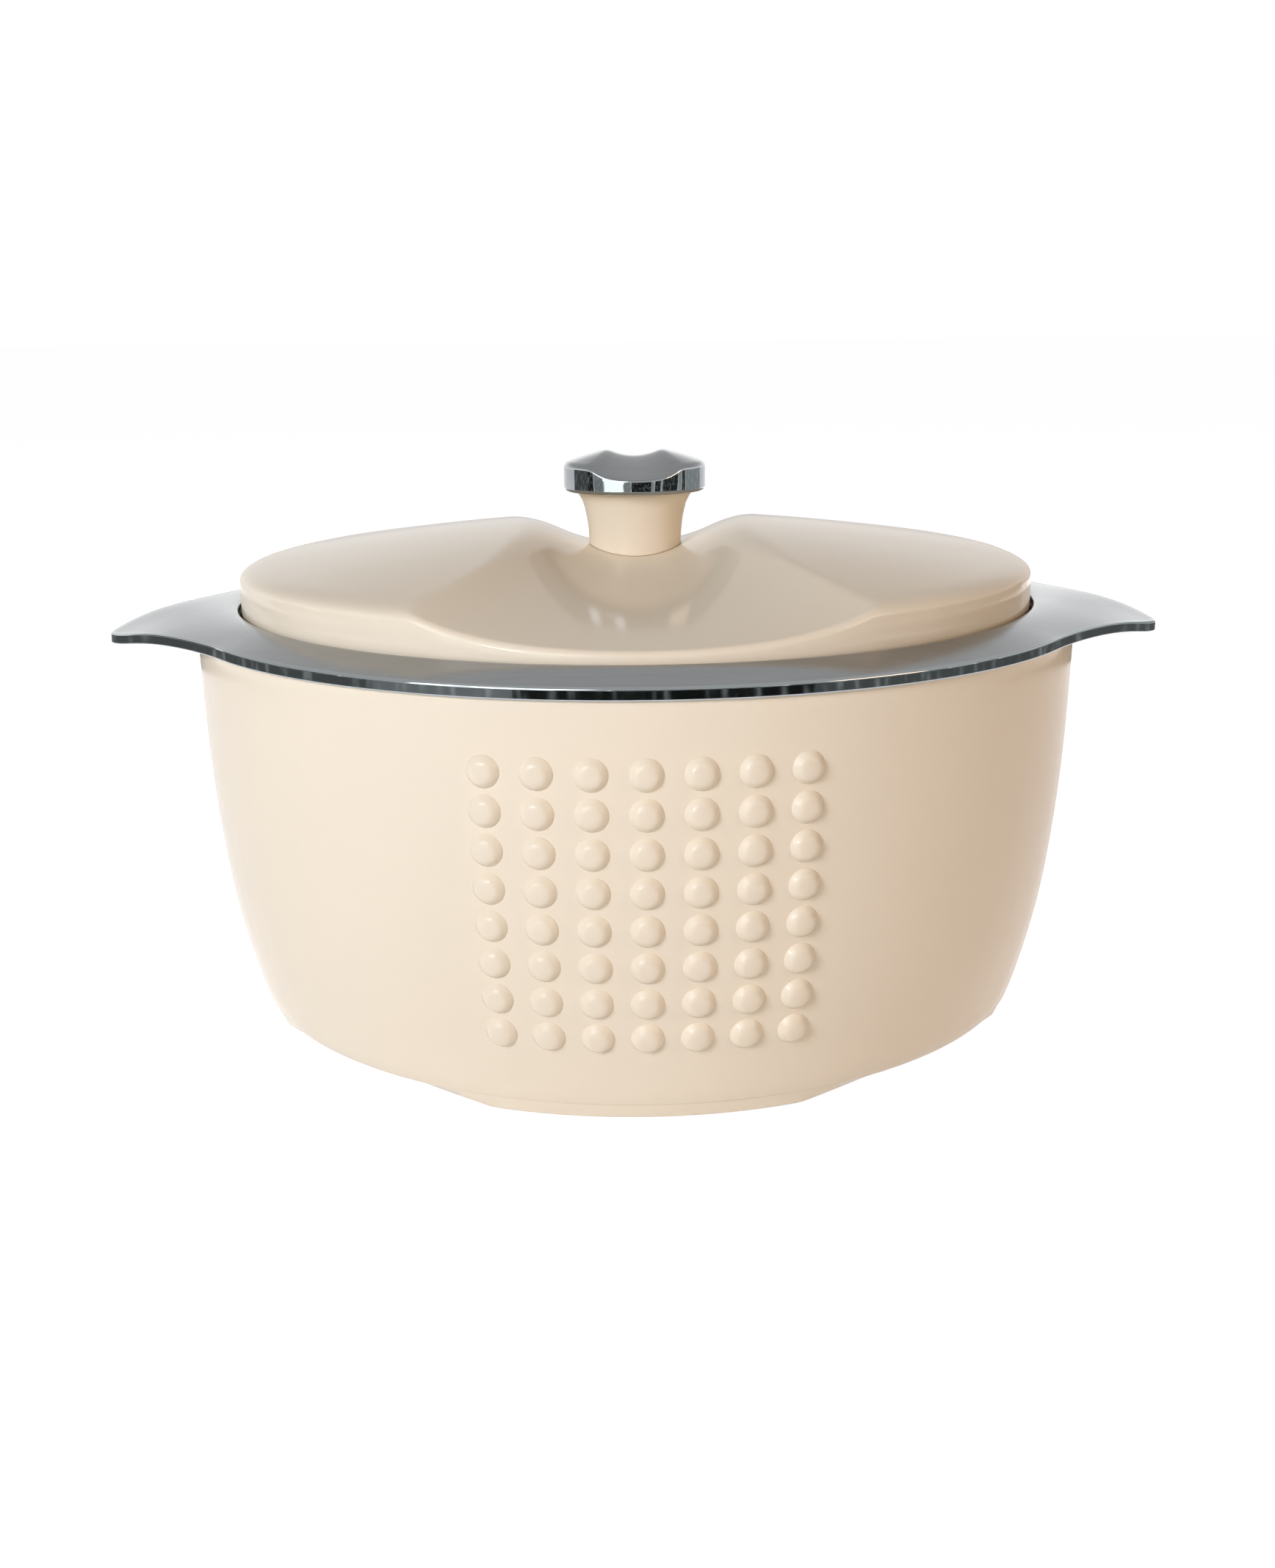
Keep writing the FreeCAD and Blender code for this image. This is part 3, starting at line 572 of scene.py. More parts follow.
def build_base_plate():
    """The plate turned in one section, with the foot ring raised at the arches."""
    foot_r = wall_radius(LOBE_BOTTOM) - FOOT_MARGIN
    rim_r = wall_radius(SHELL_BOTTOM) - FOOT_MARGIN
    disc_r = wall_radius(SHELL_BOTTOM) - WALL_THICKNESS - FIT
    seat_r = PLUG_HEAD_R + FIT
    seat_z = SHELL_BOTTOM + PLUG_HEAD_DEPTH
    corners = [(0, BASE_TOP - PLUG_COVER, 0), (PLUG_HOLE_R, BASE_TOP - PLUG_COVER, 0)]
    corners += [(PLUG_HOLE_R, seat_z, 0), (seat_r, seat_z, 0), (seat_r, SHELL_BOTTOM, 0.3)]
    for radius in STIFFENERS:
        outer_r = radius + STIFFENER_WIDTH
        low = SHELL_BOTTOM - STIFFENER_DEPTH
        corners += [(radius, SHELL_BOTTOM, 0), (radius, low, 0.3)]
        corners += [(outer_r, low, 0.3), (outer_r, SHELL_BOTTOM, 0)]
    corners += [(LOBE_INNER_R, SHELL_BOTTOM, 0), (LOBE_INNER_R, LOBE_BOTTOM, 0.6)]
    corners += [(foot_r, LOBE_BOTTOM, 1.2), (rim_r, SHELL_BOTTOM, 0), (disc_r, SHELL_BOTTOM, 0)]
    corners += [(disc_r, BASE_TOP, 0), (0, BASE_TOP, 0)]
    bm = lathe(rounded(corners, 4), ROUND_STEPS, closed=False)
    for vert in bm.verts:
        radius = math.hypot(vert.co.x, vert.co.y)
        if radius > LOBE_INNER_R - 1 and vert.co.z < SHELL_BOTTOM - 0.1:
            lift = arch_height(vert.co.x, vert.co.y) + ARCH_EDGE_SHARE * (vert.co.z - LOBE_BOTTOM)
            vert.co.z = min(max(vert.co.z, lift), SHELL_BOTTOM - 0.1)
    return bm


finish_piece("base_cover", build_base_plate(), cream_plastic, "base", ["base_plate"])


# ---------------------------------------------------------------- base screws
# Four zinc-plated pan-head screws, one at the top of each arch, driven up into
# the shell's bosses.

dress_node("base_screws", zinc_plate)


# ---------------------------------------------------------------- body foam
# Rigid polyurethane foam injected between shell and bowl.

FOAM_YELLOW = (0.78, 0.66, 0.36, 1)


def make_foam_cells():
    """Closed-cell foam: small round cells and a mottled tint."""
    tree, given, place = finish_group("foam_cells", {"Color": (1, 1, 1, 1), "Cell Scale": 900})
    voronoi = {"Vector": place, "Scale": given["Cell Scale"]}
    cells = put(tree, "ShaderNodeTexVoronoi", voronoi).outputs["Distance"]
    clouds = noise(tree, place, scale=60, detail=4)
    tone = ranged(tree, clouds, 0.3, 0.7, 0.88, 1.04)
    color = put(tree, "ShaderNodeHueSaturation", {"Color": given["Color"], "Value": tone}).outputs[0]
    return close_group(tree, color, ranged(tree, cells, 0.0, 0.6, 0.95, 0.75), cells)


foam = finish_material("polyurethane_foam", make_foam_cells(), {"Color": FOAM_YELLOW}, bump=0.6)
dress_node("body_foam", foam)


# ---------------------------------------------------------------- filler plug
# Push-in plug of matt plastic that closes the hole through which the foam goes
# in. Its head is flush with the base plate.

PLUG_GREY = (0.62, 0.56, 0.46, 1)
PLUG_STEM_R = 8.75
PLUG_STEM_TOP = BASE_TOP + 2
PLUG_STEPS = 64

plug_plastic = finish_material(
    "matt_plug_plastic",
    moulded_skin,
    {"Color": PLUG_GREY, "Tint": 0.05, "Roughness": 0.5, "Smudge": 0.1, "Peel Scale": 900},
    bump=0.2,
)
plug_line = rounded([
    (0, SHELL_BOTTOM, 0),
    (PLUG_HEAD_R, SHELL_BOTTOM, 0.5),
    (PLUG_HEAD_R, SHELL_BOTTOM + PLUG_HEAD_DEPTH, 0),
    (PLUG_STEM_R, SHELL_BOTTOM + PLUG_HEAD_DEPTH, 0),
    (PLUG_STEM_R, PLUG_STEM_TOP, 1.0),
    (0, PLUG_STEM_TOP, 0),
], 4)
plug = lathe(plug_line, PLUG_STEPS, closed=False)
finish_piece("filler_plug_moulding", plug, plug_plastic, "base", ["filler_plug"])


# ---------------------------------------------------------------- foot pads
# Four strips of dark rubber, moulded to the curve of the foot ring and glued
# into a pocket under each lobe.

PAD_INNER_R = 101.0
PAD_OUTER_R = 113.0
PAD_HALF_ANGLE = 16.0
PAD_THICKNESS = 2.0
PAD_EDGE = 0.4
PAD_STEPS = 24
RUBBER_BLACK = (0.022, 0.022, 0.025, 1)
DUST = (0.45, 0.42, 0.38, 1)


def make_rubber_grain():
    """Matt rubber with a fine pebbled grain and a little dust."""
    tree, given, place = finish_group("rubber_grain", {
        "Color": (1, 1, 1, 1), "Roughness": 0.6, "Grain Scale": 1500, "Dust": 0.1,
    })
    grain = noise(tree, place, scale=given["Grain Scale"], detail=3)
    clouds = noise(tree, place, scale=80, detail=5)
    dusty = ranged(tree, clouds, 0.45, 0.8, 0.0, given["Dust"])
    color = mixed(tree, dusty, given["Color"], DUST)
    return close_group(tree, color, combined(tree, "ADD", given["Roughness"], dusty), grain)


rubber_grain = make_rubber_grain()
pad_rubber = finish_material("foot_rubber", rubber_grain, {"Color": RUBBER_BLACK}, bump=0.4)


def build_foot_pad(middle):
    """A strip of the foot ring with softened edges, its middle at so many degrees."""
    bm = bmesh.new()
    bottom = [bm.verts.new((radius, 0, 0)) for radius in (PAD_INNER_R, PAD_OUTER_R)]
    top = [bm.verts.new((radius, 0, PAD_THICKNESS)) for radius in (PAD_OUTER_R, PAD_INNER_R)]
    section = bm.faces.new(bottom + top)
    geom = [section] + list(section.edges) + list(section.verts)
    start = Matrix.Rotation(math.radians(middle - PAD_HALF_ANGLE), 3, "Z")
    bmesh.ops.rotate(bm, verts=bm.verts, cent=(0, 0, 0), matrix=start)
    turn = {"cent": (0, 0, 0), "axis": (0, 0, 1), "angle": math.radians(2 * PAD_HALF_ANGLE)}
    bmesh.ops.spin(bm, geom=geom, steps=PAD_STEPS, **turn)
    bmesh.ops.recalc_face_normals(bm, faces=bm.faces)
    edges = [edge for edge in bm.edges if edge.is_manifold and edge.calc_face_angle() > 1]
    bmesh.ops.bevel(bm, geom=edges, offset=PAD_EDGE, segments=2, profile=0.5, affect="EDGES", material=-1)
    return bm


for side, middle in (("front", 270), ("right", 0), ("back", 90), ("left", 180)):
    node = "foot_pad_" + side
    finish_piece(node + "_rubber", build_foot_pad(middle), pad_rubber, "base", [node])


# ---------------------------------------------------------------- lid shell
# Moulded dome of the same cream plastic. A valley runs over it from front to
# back between two softly rounded ridges, and opens at the rim at both ends.

SEAT_Z = 125.0
LID_RADIUS = 122.0
LID_SKIRT_Z = 121.3
LID_THICKNESS = 2.5
LID_SHOULDER_R = 112.0
LID_SIDE_TOP = 133.5
LID_EDGE_HEIGHT = 11.4
LID_CROWN = 12.6
LID_DOME_POWER = 1.58
LID_MOUTH_ROUND = 1.8
LID_RIDGE_CRISP = 0.8
LID_RIDGE_SOFT = 5.0
LID_SOFT_REACH = 62.0
LID_VALLEY = {
    "middle": SEAT_Z + 13.7, "slope": 0.111,
    "waist": 29.0, "spread": 0.475,
    "reach": 120.0, "ease": 1.5,
}
LID_INSET = 0.99
LID_INSIDE_RINGS = 30
LID_STEPS = 480
LID_TOP_MARK = 1
LID_INSIDE_MARK = 2
SIDE_STIFFNESS = 0.6


def lid_dome(r):
    """Height of the lid's dome at a radius, before its shoulder."""
    return SEAT_Z + LID_EDGE_HEIGHT + LID_CROWN * (1 - (r / LID_RADIUS) ** LID_DOME_POWER)


def shoulder_line(start_r, start_z, slope, end_r, end_z, count=40):
    """The curve that turns a dome over into its straight side."""
    half = (end_r - start_r) / 2
    start, end = Vector((start_r, start_z)), Vector((end_r, end_z))
    lean = Vector((start_r + half, start_z + slope * half))
    drop = Vector((end_r, end_z + (start_z - end_z) * SIDE_STIFFNESS))
    return interpolate_bezier(start, lean, drop, end, count)


def valley_floor(dome, x, y, form):
    """Height of a valley's floor, hollow between two ridges that draw apart to the ends."""
    along = form["middle"] - form["slope"] * (math.hypot(y, form["waist"]) - form["waist"])
    ridge_x = math.hypot(form["waist"], form["spread"] * y)
    ridge_r = math.hypot(ridge_x, y)
    ridge = dome(ridge_r) - form["ease"] * (ridge_r / form["reach"]) ** 6
    return along + (ridge - along) * (x / ridge_x) ** 2


def soft_min(a, b, blend):
    """The lower of two heights, with the crest between them rounded off."""
    share = min(1.0, max(0.0, 0.5 + 0.5 * (b - a) / blend))
    return b + (a - b) * share - blend * share * (1 - share)


def rounded_rim_drop(r, radius, rounding):
    """How far a top face has dropped inside the rounding of its rim."""
    inside = min(1.0, max(0.0, (r - (radius - rounding)) / rounding))
    return rounding * (1 - math.sqrt(1 - inside * inside))


lid_start_z = lid_dome(LID_SHOULDER_R)
lid_slope = lid_start_z - lid_dome(LID_SHOULDER_R - 1)
LID_SHOULDER = shoulder_line(LID_SHOULDER_R, lid_start_z, lid_slope, LID_RADIUS, LID_SIDE_TOP)


def lid_valley(x, y):
    """Height of the valley's floor in the lid."""
    return valley_floor(lid_dome, x, y, LID_VALLEY)


def domed(r, dome, shoulder):
    """Height of a dome with its shoulder at a radius."""
    if r <= shoulder[0].x:
        return dome(r)
    return float(numpy.interp(r, [spot.x for spot in shoulder], [spot.y for spot in shoulder]))


def lid_height(x, y):
    """Height of the lid's top face."""
    r = math.hypot(x, y)
    dome = domed(r, lid_dome, LID_SHOULDER)
    valley = lid_valley(x, y) - rounded_rim_drop(r, LID_RADIUS, LID_MOUTH_ROUND)
    softness = max(0.0, 1 - (y / LID_SOFT_REACH) ** 2)
    blend = LID_RIDGE_CRISP + (LID_RIDGE_SOFT - LID_RIDGE_CRISP) * softness
    return soft_min(dome, valley, blend)


def top_rings(shoulder_r, radius, dome_rings, shoulder_rings, mark):
    """Marked rings for a domed top, closer together on its shoulder. Their heights come later."""
    rings = [(r, 1, mark) for r in numpy.linspace(0, shoulder_r, dome_rings)]
    for degrees in numpy.linspace(0, 90, shoulder_rings + 1)[1:]:
        share = math.sin(math.radians(degrees))
        rings.append((shoulder_r + (radius - shoulder_r) * share, 1, mark))
    return rings


def build_lid_shell():
    """The dome turned with its inside, then set to the heights of dome and valley."""
    outer = top_rings(LID_SHOULDER_R, LID_RADIUS, 90, 18, LID_TOP_MARK)
    inner_r = LID_RADIUS - LID_THICKNESS
    skirt = [(LID_RADIUS, LID_SKIRT_Z + 0.5), (LID_RADIUS - 0.15, LID_SKIRT_Z + 0.15)]
    skirt += [(LID_RADIUS - 0.5, LID_SKIRT_Z), (inner_r + 0.4, LID_SKIRT_Z), (inner_r, LID_SKIRT_Z + 0.4)]
    inner = [(r, 2, LID_INSIDE_MARK) for r in numpy.linspace(inner_r, 0, LID_INSIDE_RINGS)]
    bm = lathe(outer + skirt + inner, LID_STEPS, closed=False)
    mark = bm.verts.layers.float["mark"]
    for vert in bm.verts:
        if vert[mark] == LID_TOP_MARK:
            vert.co.z = lid_height(vert.co.x, vert.co.y)
        if vert[mark] == LID_INSIDE_MARK:
            vert.co.z = lid_height(vert.co.x * LID_INSET, vert.co.y * LID_INSET) - LID_THICKNESS
    bmesh.ops.recalc_face_normals(bm, faces=bm.faces)
    return bm


lid = build_lid_shell()
finish_piece(
    "lid_shell_moulding", lid, cream_plastic, "lid", ["lid_shell"], sharp=60
)


# ---------------------------------------------------------------- knob stem
# Solid cream stem that stands in the valley and widens to the cap, with a brass
# insert moulded into it for the screw from inside the lid.

STEM_POINTS = [(14.4, 137.5), (14.4, 141.0), (14.9, 147.0), (16.2, 153.5), (18.2, 157.4)]
STEM_TOP = 157.4
STEM_GAP = 0.05
STEM_STEPS = 96
SPIGOT_R = 12.0
SPIGOT_TOP = 159.2


def build_knob_stem():
    """The flared stem, with its foot bent to lie on the valley's floor."""
    flare = [tuple(spot) for spot in smooth_line(STEM_POINTS, 6)]
    foot_r, foot_z = STEM_POINTS[0]
    top_r = STEM_POINTS[-1][0]
    line = [(0, foot_z + 0.3), (foot_r - 0.4, foot_z), (foot_r - 0.15, foot_z + 0.1)] + flare[1:-1]
    line += [(top_r - 0.2, STEM_TOP - 0.3), (top_r - 0.5, STEM_TOP), (SPIGOT_R, STEM_TOP)]
    line += [(SPIGOT_R, SPIGOT_TOP), (0, SPIGOT_TOP)]
    bm = lathe(line, STEM_STEPS, closed=False)
    for vert in bm.verts:
        share = min(1.0, max(0.0, (STEM_TOP - vert.co.z) / (STEM_TOP - foot_z)))
        rise = lid_valley(vert.co.x, vert.co.y) + STEM_GAP - foot_z
        vert.co.z += rise * share ** 2
    return bm


stem = build_knob_stem()
finish_piece(
    "knob_stem_moulding", stem, cream_plastic, "lid", ["knob_stem"], sharp=60
)


# ---------------------------------------------------------------- knob cap
# Metallised cap with the lid's dome and valley in small. Its top is satin and
# its side is polished. It snaps over the stem's spigot.

CAP_RADIUS = 22.0
CAP_BOTTOM_ROUND = 1.2
CAP_SHOULDER_R = 20.2
CAP_SIDE_TOP = 164.3
CAP_EDGE_HEIGHT = 8.6
CAP_CROWN = 5.2
CAP_DOME_POWER = 1.5
CAP_RIDGE_BLEND = 1.0
CAP_MOUTH_ROUND = 0.5
CAP_VALLEY = {
    "middle": STEM_TOP + 10.6, "slope": 0.4,
    "waist": 8.3, "spread": 0.66,
    "reach": CAP_RADIUS, "ease": 0.8,
}
CAP_POLISH_ZONE = 0.12
CAP_STEPS = 160
CAP_TOP_MARK = -1


def cap_dome(r):
    """Height of the cap's dome at a radius, before its shoulder."""
    return STEM_TOP + CAP_EDGE_HEIGHT + CAP_CROWN * (1 - (r / CAP_RADIUS) ** CAP_DOME_POWER)


cap_start_z = cap_dome(CAP_SHOULDER_R)
cap_slope = cap_start_z - cap_dome(CAP_SHOULDER_R - 1)
CAP_SHOULDER = shoulder_line(CAP_SHOULDER_R, cap_start_z, cap_slope, CAP_RADIUS, CAP_SIDE_TOP)


def cap_height(x, y):
    """Height of the cap's top face."""
    r = math.hypot(x, y)
    valley = valley_floor(cap_dome, x, y, CAP_VALLEY) - rounded_rim_drop(r, CAP_RADIUS, CAP_MOUTH_ROUND)
    return soft_min(domed(r, cap_dome, CAP_SHOULDER), valley, CAP_RIDGE_BLEND)


def build_knob_cap():
    """The cap turned as a solid, then its top set to the heights of dome and valley."""
    top = top_rings(CAP_SHOULDER_R, CAP_RADIUS, 34, 12, CAP_TOP_MARK)
    side = [(CAP_RADIUS, STEM_TOP + CAP_BOTTOM_ROUND, POLISHED)]
    for degrees in numpy.linspace(0, 90, 13)[1:]:
        inwards = CAP_BOTTOM_ROUND * (1 - math.cos(math.radians(degrees)))
        up = CAP_BOTTOM_ROUND * (1 - math.sin(math.radians(degrees)))
        side.append((CAP_RADIUS - inwards, STEM_TOP + up, POLISHED))
    pocket_top = SPIGOT_TOP + FIT
    pocket = [(SPIGOT_R + FIT, STEM_TOP, POLISHED), (SPIGOT_R + FIT, pocket_top), (0, pocket_top)]
    bm = lathe(top + side + pocket, CAP_STEPS, closed=False)
    mark = bm.verts.layers.float["mark"]
    for vert in bm.verts:
        if vert[mark] == CAP_TOP_MARK:
            vert.co.z = cap_height(vert.co.x, vert.co.y)
            near_side = math.hypot(vert.co.x, vert.co.y) > CAP_RADIUS - CAP_POLISH_ZONE
            vert[mark] = POLISHED if near_side else 0
    bmesh.ops.recalc_face_normals(bm, faces=bm.faces)
    return bm


cap = build_knob_cap()
finish_piece(
    "knob_cap_metallised", cap, metallised, "lid", ["knob_cap"], sharp=60
)


# ---------------------------------------------------------------- knob fixings
# A brass insert moulded into the stem, and a zinc-plated machine screw with a
# washer that reaches it from inside the lid. All three are inside.

BRASS = (0.62, 0.4, 0.13, 1)

turned = {"Color": BRASS, "Ring Scale": 3000}
brass = finish_material("turned_brass", spun_steel, turned, bump=0.1, Metallic=1.0)
dress_node("knob_insert", brass)
dress_node("knob_washer", zinc_plate)
dress_node("knob_screw", zinc_plate)


# ---------------------------------------------------------------- lid foam
# The same rigid foam, filling the dome and the liner's plug.

dress_node("lid_foam", foam)


# ---------------------------------------------------------------- lid liner
# Pressed steel pan that closes the lid's underside and dips into the bowl. It is
# brushed in rings as the bowl is.

LINER_RADIUS = 104.0
LINER_BOTTOM = 112.0
LINER_CORNER = 4.0
LINER_FLANGE_R = 117.0
LINER_SEAT = 123.55

liner_inner = LINER_RADIUS - STEEL
liner_line = rounded([
    (0, LINER_BOTTOM, 0),
    (LINER_RADIUS, LINER_BOTTOM, LINER_CORNER),
    (LINER_RADIUS, LINER_SEAT, 0),
    (LINER_FLANGE_R, LINER_SEAT, 0),
    (LINER_FLANGE_R, LINER_SEAT + STEEL, 0),
    (liner_inner, LINER_SEAT + STEEL, 0.8),
    (liner_inner, LINER_BOTTOM + STEEL, LINER_CORNER - STEEL),
    (0, LINER_BOTTOM + STEEL, 0),
], 8)
liner = lathe(liner_line, BOWL_STEPS, closed=False)
finish_piece("lid_liner_pressing", liner, bowl_steel, "lid", ["lid_liner"])


# ---------------------------------------------------------------- lid ring
# Moulded ring that snaps into the lid's skirt and holds the liner's flange.

RING_INNER_R = 104.25
RING_OUTER_R = 119.25
RING_THICKNESS = 2.0

ring_line = rounded([
    (RING_INNER_R, LID_SKIRT_Z, 0.5),
    (RING_OUTER_R, LID_SKIRT_Z, 0.5),
    (RING_OUTER_R, LID_SKIRT_Z + RING_THICKNESS, 0),
    (RING_INNER_R, LID_SKIRT_Z + RING_THICKNESS, 0),
], 3)
ring = lathe(ring_line, COLLAR_STEPS)
finish_piece("lid_ring_moulding", ring, cream_plastic, "lid", ["lid_ring"])


# ---------------------------------------------------------------- lid gasket
# Pale silicone ring stretched round the liner, with a soft lip towards the bowl.

GASKET_LIP_R = 108.6
GASKET_WIDTH = 1.8
GASKET_DEPTH = 4.0
SILICONE = (0.7, 0.7, 0.66, 1)

gasket_silicone = finish_material(
    "pale_silicone",
    rubber_grain,
    {"Color": SILICONE, "Roughness": 0.42, "Grain Scale": 700, "Dust": 0.04},
    bump=0.15,
    Subsurface_Weight=0.2,
    Subsurface_Scale=0.002,
)
gasket_top = LID_SKIRT_Z - FIT
gasket_r = RING_INNER_R + GASKET_WIDTH
gasket_line = rounded([
    (RING_INNER_R, gasket_top - GASKET_DEPTH, 0),
    (GASKET_LIP_R, gasket_top - 0.7 * GASKET_DEPTH, 0.6),
    (gasket_r, gasket_top - 0.35 * GASKET_DEPTH, 0.5),
    (gasket_r, gasket_top, 0),
    (RING_INNER_R, gasket_top, 0),
], 4)
gasket = lathe(gasket_line, BOWL_STEPS)
finish_piece("lid_gasket_silicone", gasket, gasket_silicone, "lid", ["lid_gasket"])


# ---------------------------------------------------------------- floor
# Plain pale floor that runs out to the horizon and keeps the pot's shadow.

FLOOR_HALF = 30.0
FLOOR_PALE = (0.88, 0.88, 0.88, 1)
FLOOR_GLOW = (1.0, 1.02, 1.08, 1)
FLOOR_LIFT = 0.8

floor_bm = bmesh.new()
bmesh.ops.create_grid(floor_bm, x_segments=1, y_segments=1, size=FLOOR_HALF)
floor_mesh = bpy.data.meshes.new("floor")
floor_bm.to_mesh(floor_mesh)
floor_bm.free()
floor = bpy.data.objects.new("floor", floor_mesh)
bpy.context.scene.collection.objects.link(floor)


def seen_rays(tree):
    """1 for rays from the camera and in reflections or clear material, else 0."""
    path = put(tree, "ShaderNodeLightPath").outputs
    seen = combined(tree, "MAXIMUM", path["Is Camera Ray"], path["Is Glossy Ray"])
    return combined(tree, "MAXIMUM", seen, path["Is Transmission Ray"])


floor_material = bpy.data.materials.new("pale_floor")
floor_material.use_nodes = True
floor_tree = floor_material.node_tree
floor_shader = floor_tree.nodes["Principled BSDF"]
floor_shader.inputs["Base Color"].default_value = FLOOR_PALE
floor_shader.inputs["Roughness"].default_value = 0.9
floor_shader.inputs["Specular IOR Level"].default_value = 0.0
floor_shader.inputs["Emission Color"].default_value = FLOOR_GLOW
floor_glow = combined(floor_tree, "MULTIPLY", seen_rays(floor_tree), FLOOR_LIFT)
floor_tree.links.new(floor_glow, floor_shader.inputs["Emission Strength"])
floor_mesh.materials.append(floor_material)


# ---------------------------------------------------------------- studio light
# A soft light from the left with a larger sheen that only reflections see, a
# weaker light from the right, a low one behind, and a room that is pale at the
# horizon, greyer overhead and warmer and dimmer to the right.

ROOM_LIGHT = 0.42
ROOM_SEEN = 1.3
OVERHEAD_LIGHT = 0.5
OVERHEAD_SEEN = 0.57
ROOM_LEFT = (1.0, 0.97, 0.94, 1)
ROOM_RIGHT = (0.62, 0.42, 0.25, 1)
ROOM_TOP = (1.0, 0.88, 0.72, 1)
ROOM_REFLECTED = (1, 1, 1, 1)
FADE_HEIGHTS = (0.16, 0.42)
WARM_HEIGHTS = (0.1, 0.6)
WARM_SIDE = (-0.2, 0.8)
POT_MIDDLE = (0, 0, 0.07)
KEY_PLACE = (-0.73, -1.05, 0.62)
FILL_PLACE = (1.0, -0.6, 0.5)
BACK_PLACE = (0.25, 1.15, 0.19)
KEY_COLOR = (0.93, 0.95, 1.0)
FILL_COLOR = (1.0, 0.73, 0.52)
BACK_COLOR = (0.97, 0.98, 1.0)

world = bpy.data.worlds.new("studio")
bpy.context.scene.world = world
world.use_nodes = True
room = world.node_tree
direction = put(room, "ShaderNodeTexCoord").outputs["Generated"]
heading = put(room, "ShaderNodeSeparateXYZ", {0: direction}).outputs
seen = seen_rays(room)
overhead = ranged(room, seen, 0.0, 1.0, OVERHEAD_LIGHT, OVERHEAD_SEEN)
fade = ranged(room, heading["Z"], *FADE_HEIGHTS, 1.0, overhead, "SMOOTHSTEP")
level = ranged(room, seen, 0.0, 1.0, ROOM_LIGHT, ROOM_SEEN)
to_camera = put(room, "ShaderNodeLightPath").outputs["Is Camera Ray"]
strength = combined(room, "MAXIMUM", combined(room, "MULTIPLY", level, fade), to_camera)
to_right = ranged(room, heading["X"], *WARM_SIDE, 0.0, 1.0, "SMOOTHSTEP")
upward = ranged(room, heading["Z"], *WARM_HEIGHTS, 0.0, 1.0, "SMOOTHSTEP")
warmth = mixed(room, upward, mixed(room, to_right, ROOM_LEFT, ROOM_RIGHT), ROOM_TOP)
tint = mixed(room, seen, warmth, ROOM_REFLECTED)
room.links.new(strength, room.nodes["Background"].inputs["Strength"])
room.links.new(tint, room.nodes["Background"].inputs["Color"])


def soft_box(name, place, size, power, color):
    """A rectangular area light in metres and watts, aimed at the middle of the pot."""
    lamp = bpy.data.lights.new(name, "AREA")
    lamp.shape = "RECTANGLE"
    lamp.size, lamp.size_y = size
    lamp.energy = power
    lamp.color = color
    box = bpy.data.objects.new(name, lamp)
    box.location = place
    box.rotation_mode = "QUATERNION"
    box.rotation_quaternion = (Vector(POT_MIDDLE) - Vector(place)).to_track_quat("-Z", "Y")
    bpy.context.scene.collection.objects.link(box)
    return box


key_light = soft_box("key_light", KEY_PLACE, size=(0.45, 0.45), power=11.4, color=KEY_COLOR)
key_light.visible_glossy = False
key_sheen = soft_box("key_sheen", KEY_PLACE, size=(1.0, 1.0), power=12.8, color=KEY_COLOR)
key_sheen.visible_diffuse = False
soft_box("fill_light", FILL_PLACE, size=(0.5, 0.6), power=2.8, color=FILL_COLOR)
back_light = soft_box("back_light", BACK_PLACE, size=(1.3, 0.3), power=7.0, color=BACK_COLOR)
back_light.visible_glossy = False


# ---------------------------------------------------------------- studio cards
# Low black, grey and white boards round the set in two rows, and a small bright
# one above them. Only reflections see them: the lower row shows in the plate's
# polished edge, the upper row in the knob's cap and the bright one on the dots.

CARD_R = 0.6
CARD_LOW = (0.002, 0.05)
CARD_HIGH = (0.06, 0.2)
CARD_WINDOW = (0.22, 0.3)
CARD_STEPS = 16
LOW_CARDS = [(-170, -60, 0.12), (-60, -27, 0.3), (-27, 37, 0.0), (37, 62, 0.12), (62, 170, 0.12)]
HIGH_CARDS = [
    (-114, -80, 0.1), (-80, -69, 0.0), (-68, -51, 0.35), (-49, -19, 2.6), (-18, -7, 0.4),
    (-6, 25, 0.0), (25, 30, 0.5), (31, 40, 0.0), (40, 44, 0.6), (44, 71, 0.02),
    (72, 79, 0.5), (80, 88, 0.05), (89, 130, 0.45),
]
WINDOW_CARDS = [(-36, -25, 18.0)]
CARD_BLACK = (0.02, 0.025, 0.025, 1)
CARD_SHINE = (0.95, 1, 1, 1)
CARD_STREAK = 0.3

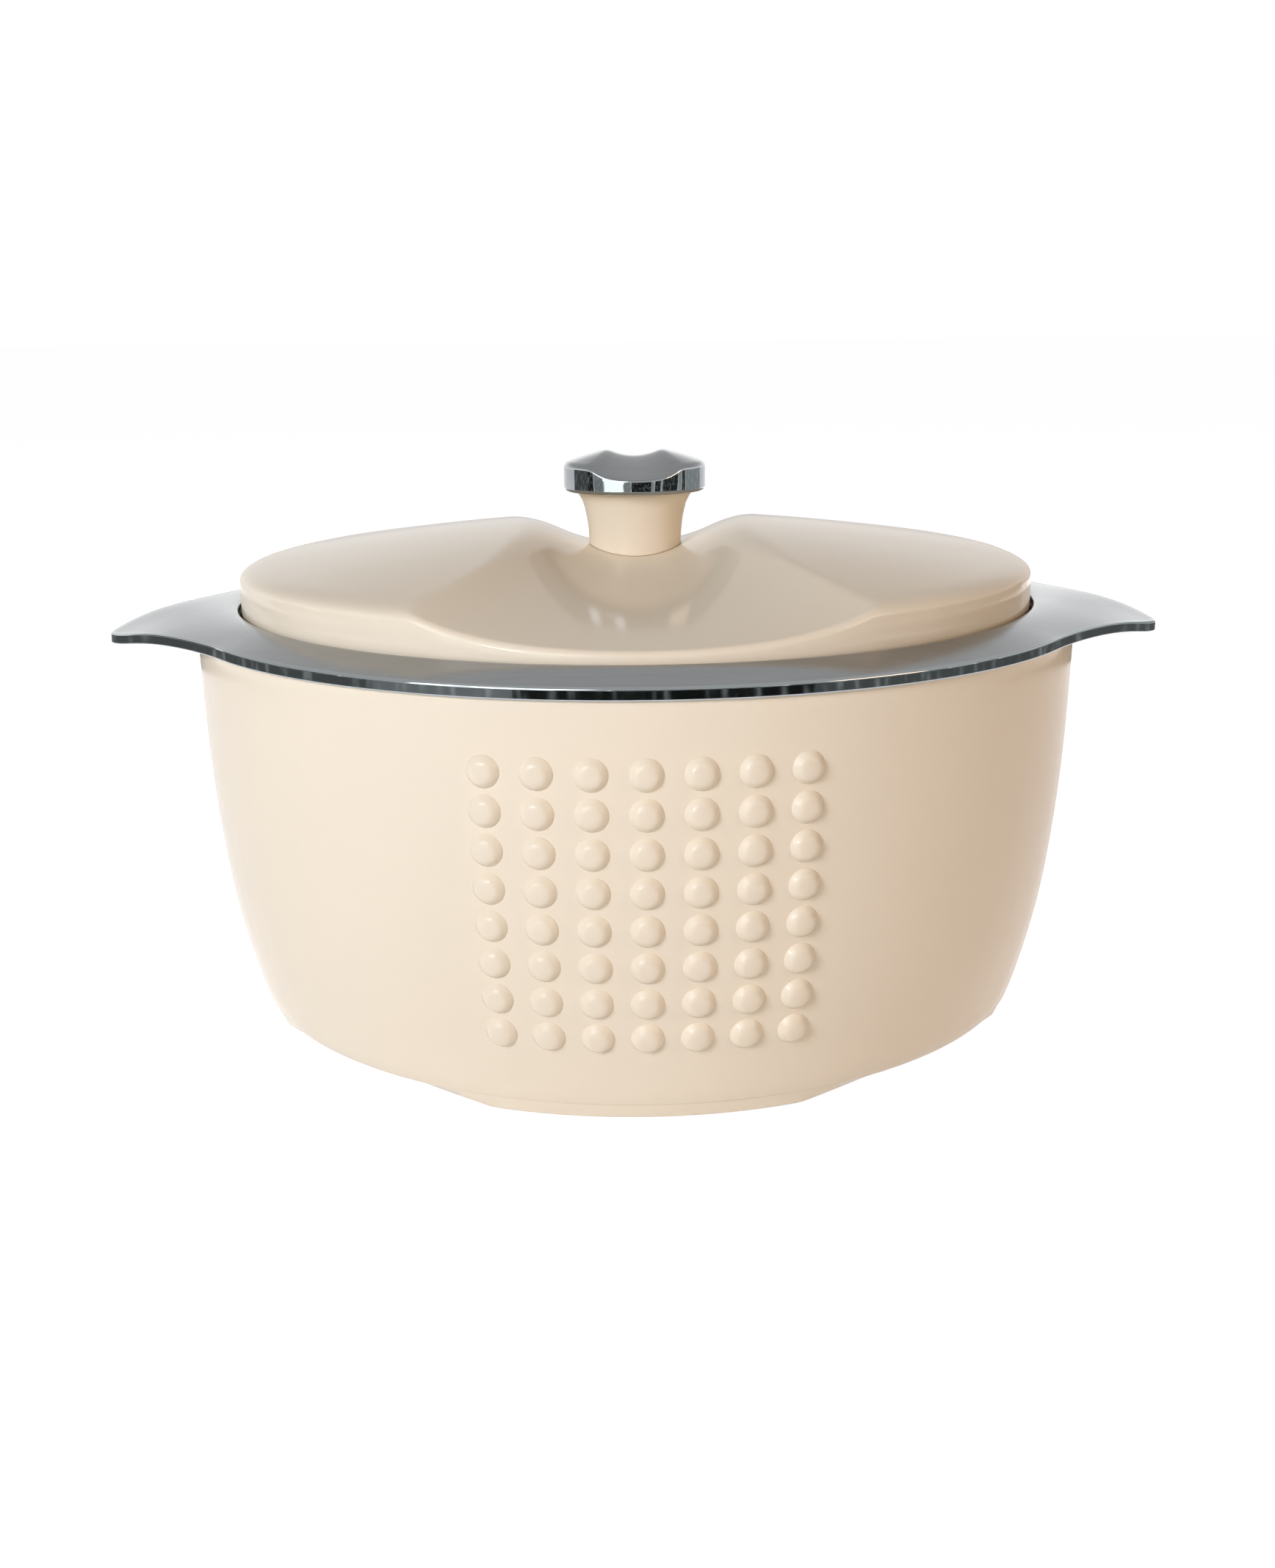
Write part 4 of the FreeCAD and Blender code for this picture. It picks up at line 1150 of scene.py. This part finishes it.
card_bm = bmesh.new()
card_light = card_bm.verts.layers.float.new("card_light")
rows = [(LOW_CARDS, CARD_LOW), (HIGH_CARDS, CARD_HIGH), (WINDOW_CARDS, CARD_WINDOW)]
for row, (bottom, top) in rows:
    for start, end, light in row:
        first = len(card_bm.verts)
        turn = Matrix.Rotation(math.radians(start - 90), 3, "Z")
        post = [card_bm.verts.new(turn @ Vector((CARD_R, 0, z))) for z in (bottom, top)]
        board = post + [card_bm.edges.new(post)]
        sweep = {"cent": (0, 0, 0), "axis": (0, 0, 1), "angle": math.radians(end - start)}
        bmesh.ops.spin(card_bm, geom=board, steps=CARD_STEPS, **sweep)
        card_bm.verts.ensure_lookup_table()
        for vert in card_bm.verts[first:]:
            vert[card_light] = light
card_mesh = bpy.data.meshes.new("studio_cards")
card_bm.to_mesh(card_mesh)
card_bm.free()
cards = bpy.data.objects.new("studio_cards", card_mesh)
bpy.context.scene.collection.objects.link(cards)
cards.visible_camera = False
cards.visible_diffuse = False
cards.visible_shadow = False
cards.visible_transmission = False
card_material = bpy.data.materials.new("card_board")
card_material.use_nodes = True
card_tree = card_material.node_tree
card_shader = card_tree.nodes["Principled BSDF"]
card_shader.inputs["Base Color"].default_value = CARD_BLACK
card_shader.inputs["Specular IOR Level"].default_value = 0.0
card_shader.inputs["Emission Color"].default_value = CARD_SHINE
card_place = put(card_tree, "ShaderNodeTexCoord").outputs["Object"]
card_clouds = noise(card_tree, card_place, scale=45, detail=3)
card_streak = ranged(card_tree, card_clouds, 0.5, 0.7, 0.0, CARD_STREAK, "SMOOTHSTEP")
card_level = put(card_tree, "ShaderNodeAttribute", attribute_name="card_light").outputs["Fac"]
card_glow = combined(card_tree, "ADD", card_level, card_streak)
card_tree.links.new(card_glow, card_shader.inputs["Emission Strength"])
card_mesh.materials.append(card_material)


# ---------------------------------------------------------------- camera
# A normal lens half a metre in front of the pot, looking slightly down on it.

SENSOR_WIDTH = 36
FOCAL_LENGTH = 40.36
CAMERA_PLACE = (-9.6, -554.07, 206.3)
CAMERA_GAZE = (0.01689, 0.9677, -0.2512)
CAMERA_ROLL = -0.009

camera_data = bpy.data.cameras.new("camera")
camera_data.sensor_width = SENSOR_WIDTH
camera_data.lens = FOCAL_LENGTH
camera_data.clip_start = 0.01
camera_data.clip_end = 200
camera = bpy.data.objects.new("camera", camera_data)
camera.location = Vector(CAMERA_PLACE) * MM
camera.rotation_mode = "QUATERNION"
level_view = Vector(CAMERA_GAZE).to_track_quat("-Z", "Y")
camera.rotation_quaternion = level_view @ Quaternion((0, 0, 1), CAMERA_ROLL)
bpy.context.scene.collection.objects.link(camera)
bpy.context.scene.camera = camera
bpy.context.scene.view_settings.view_transform = "Standard"
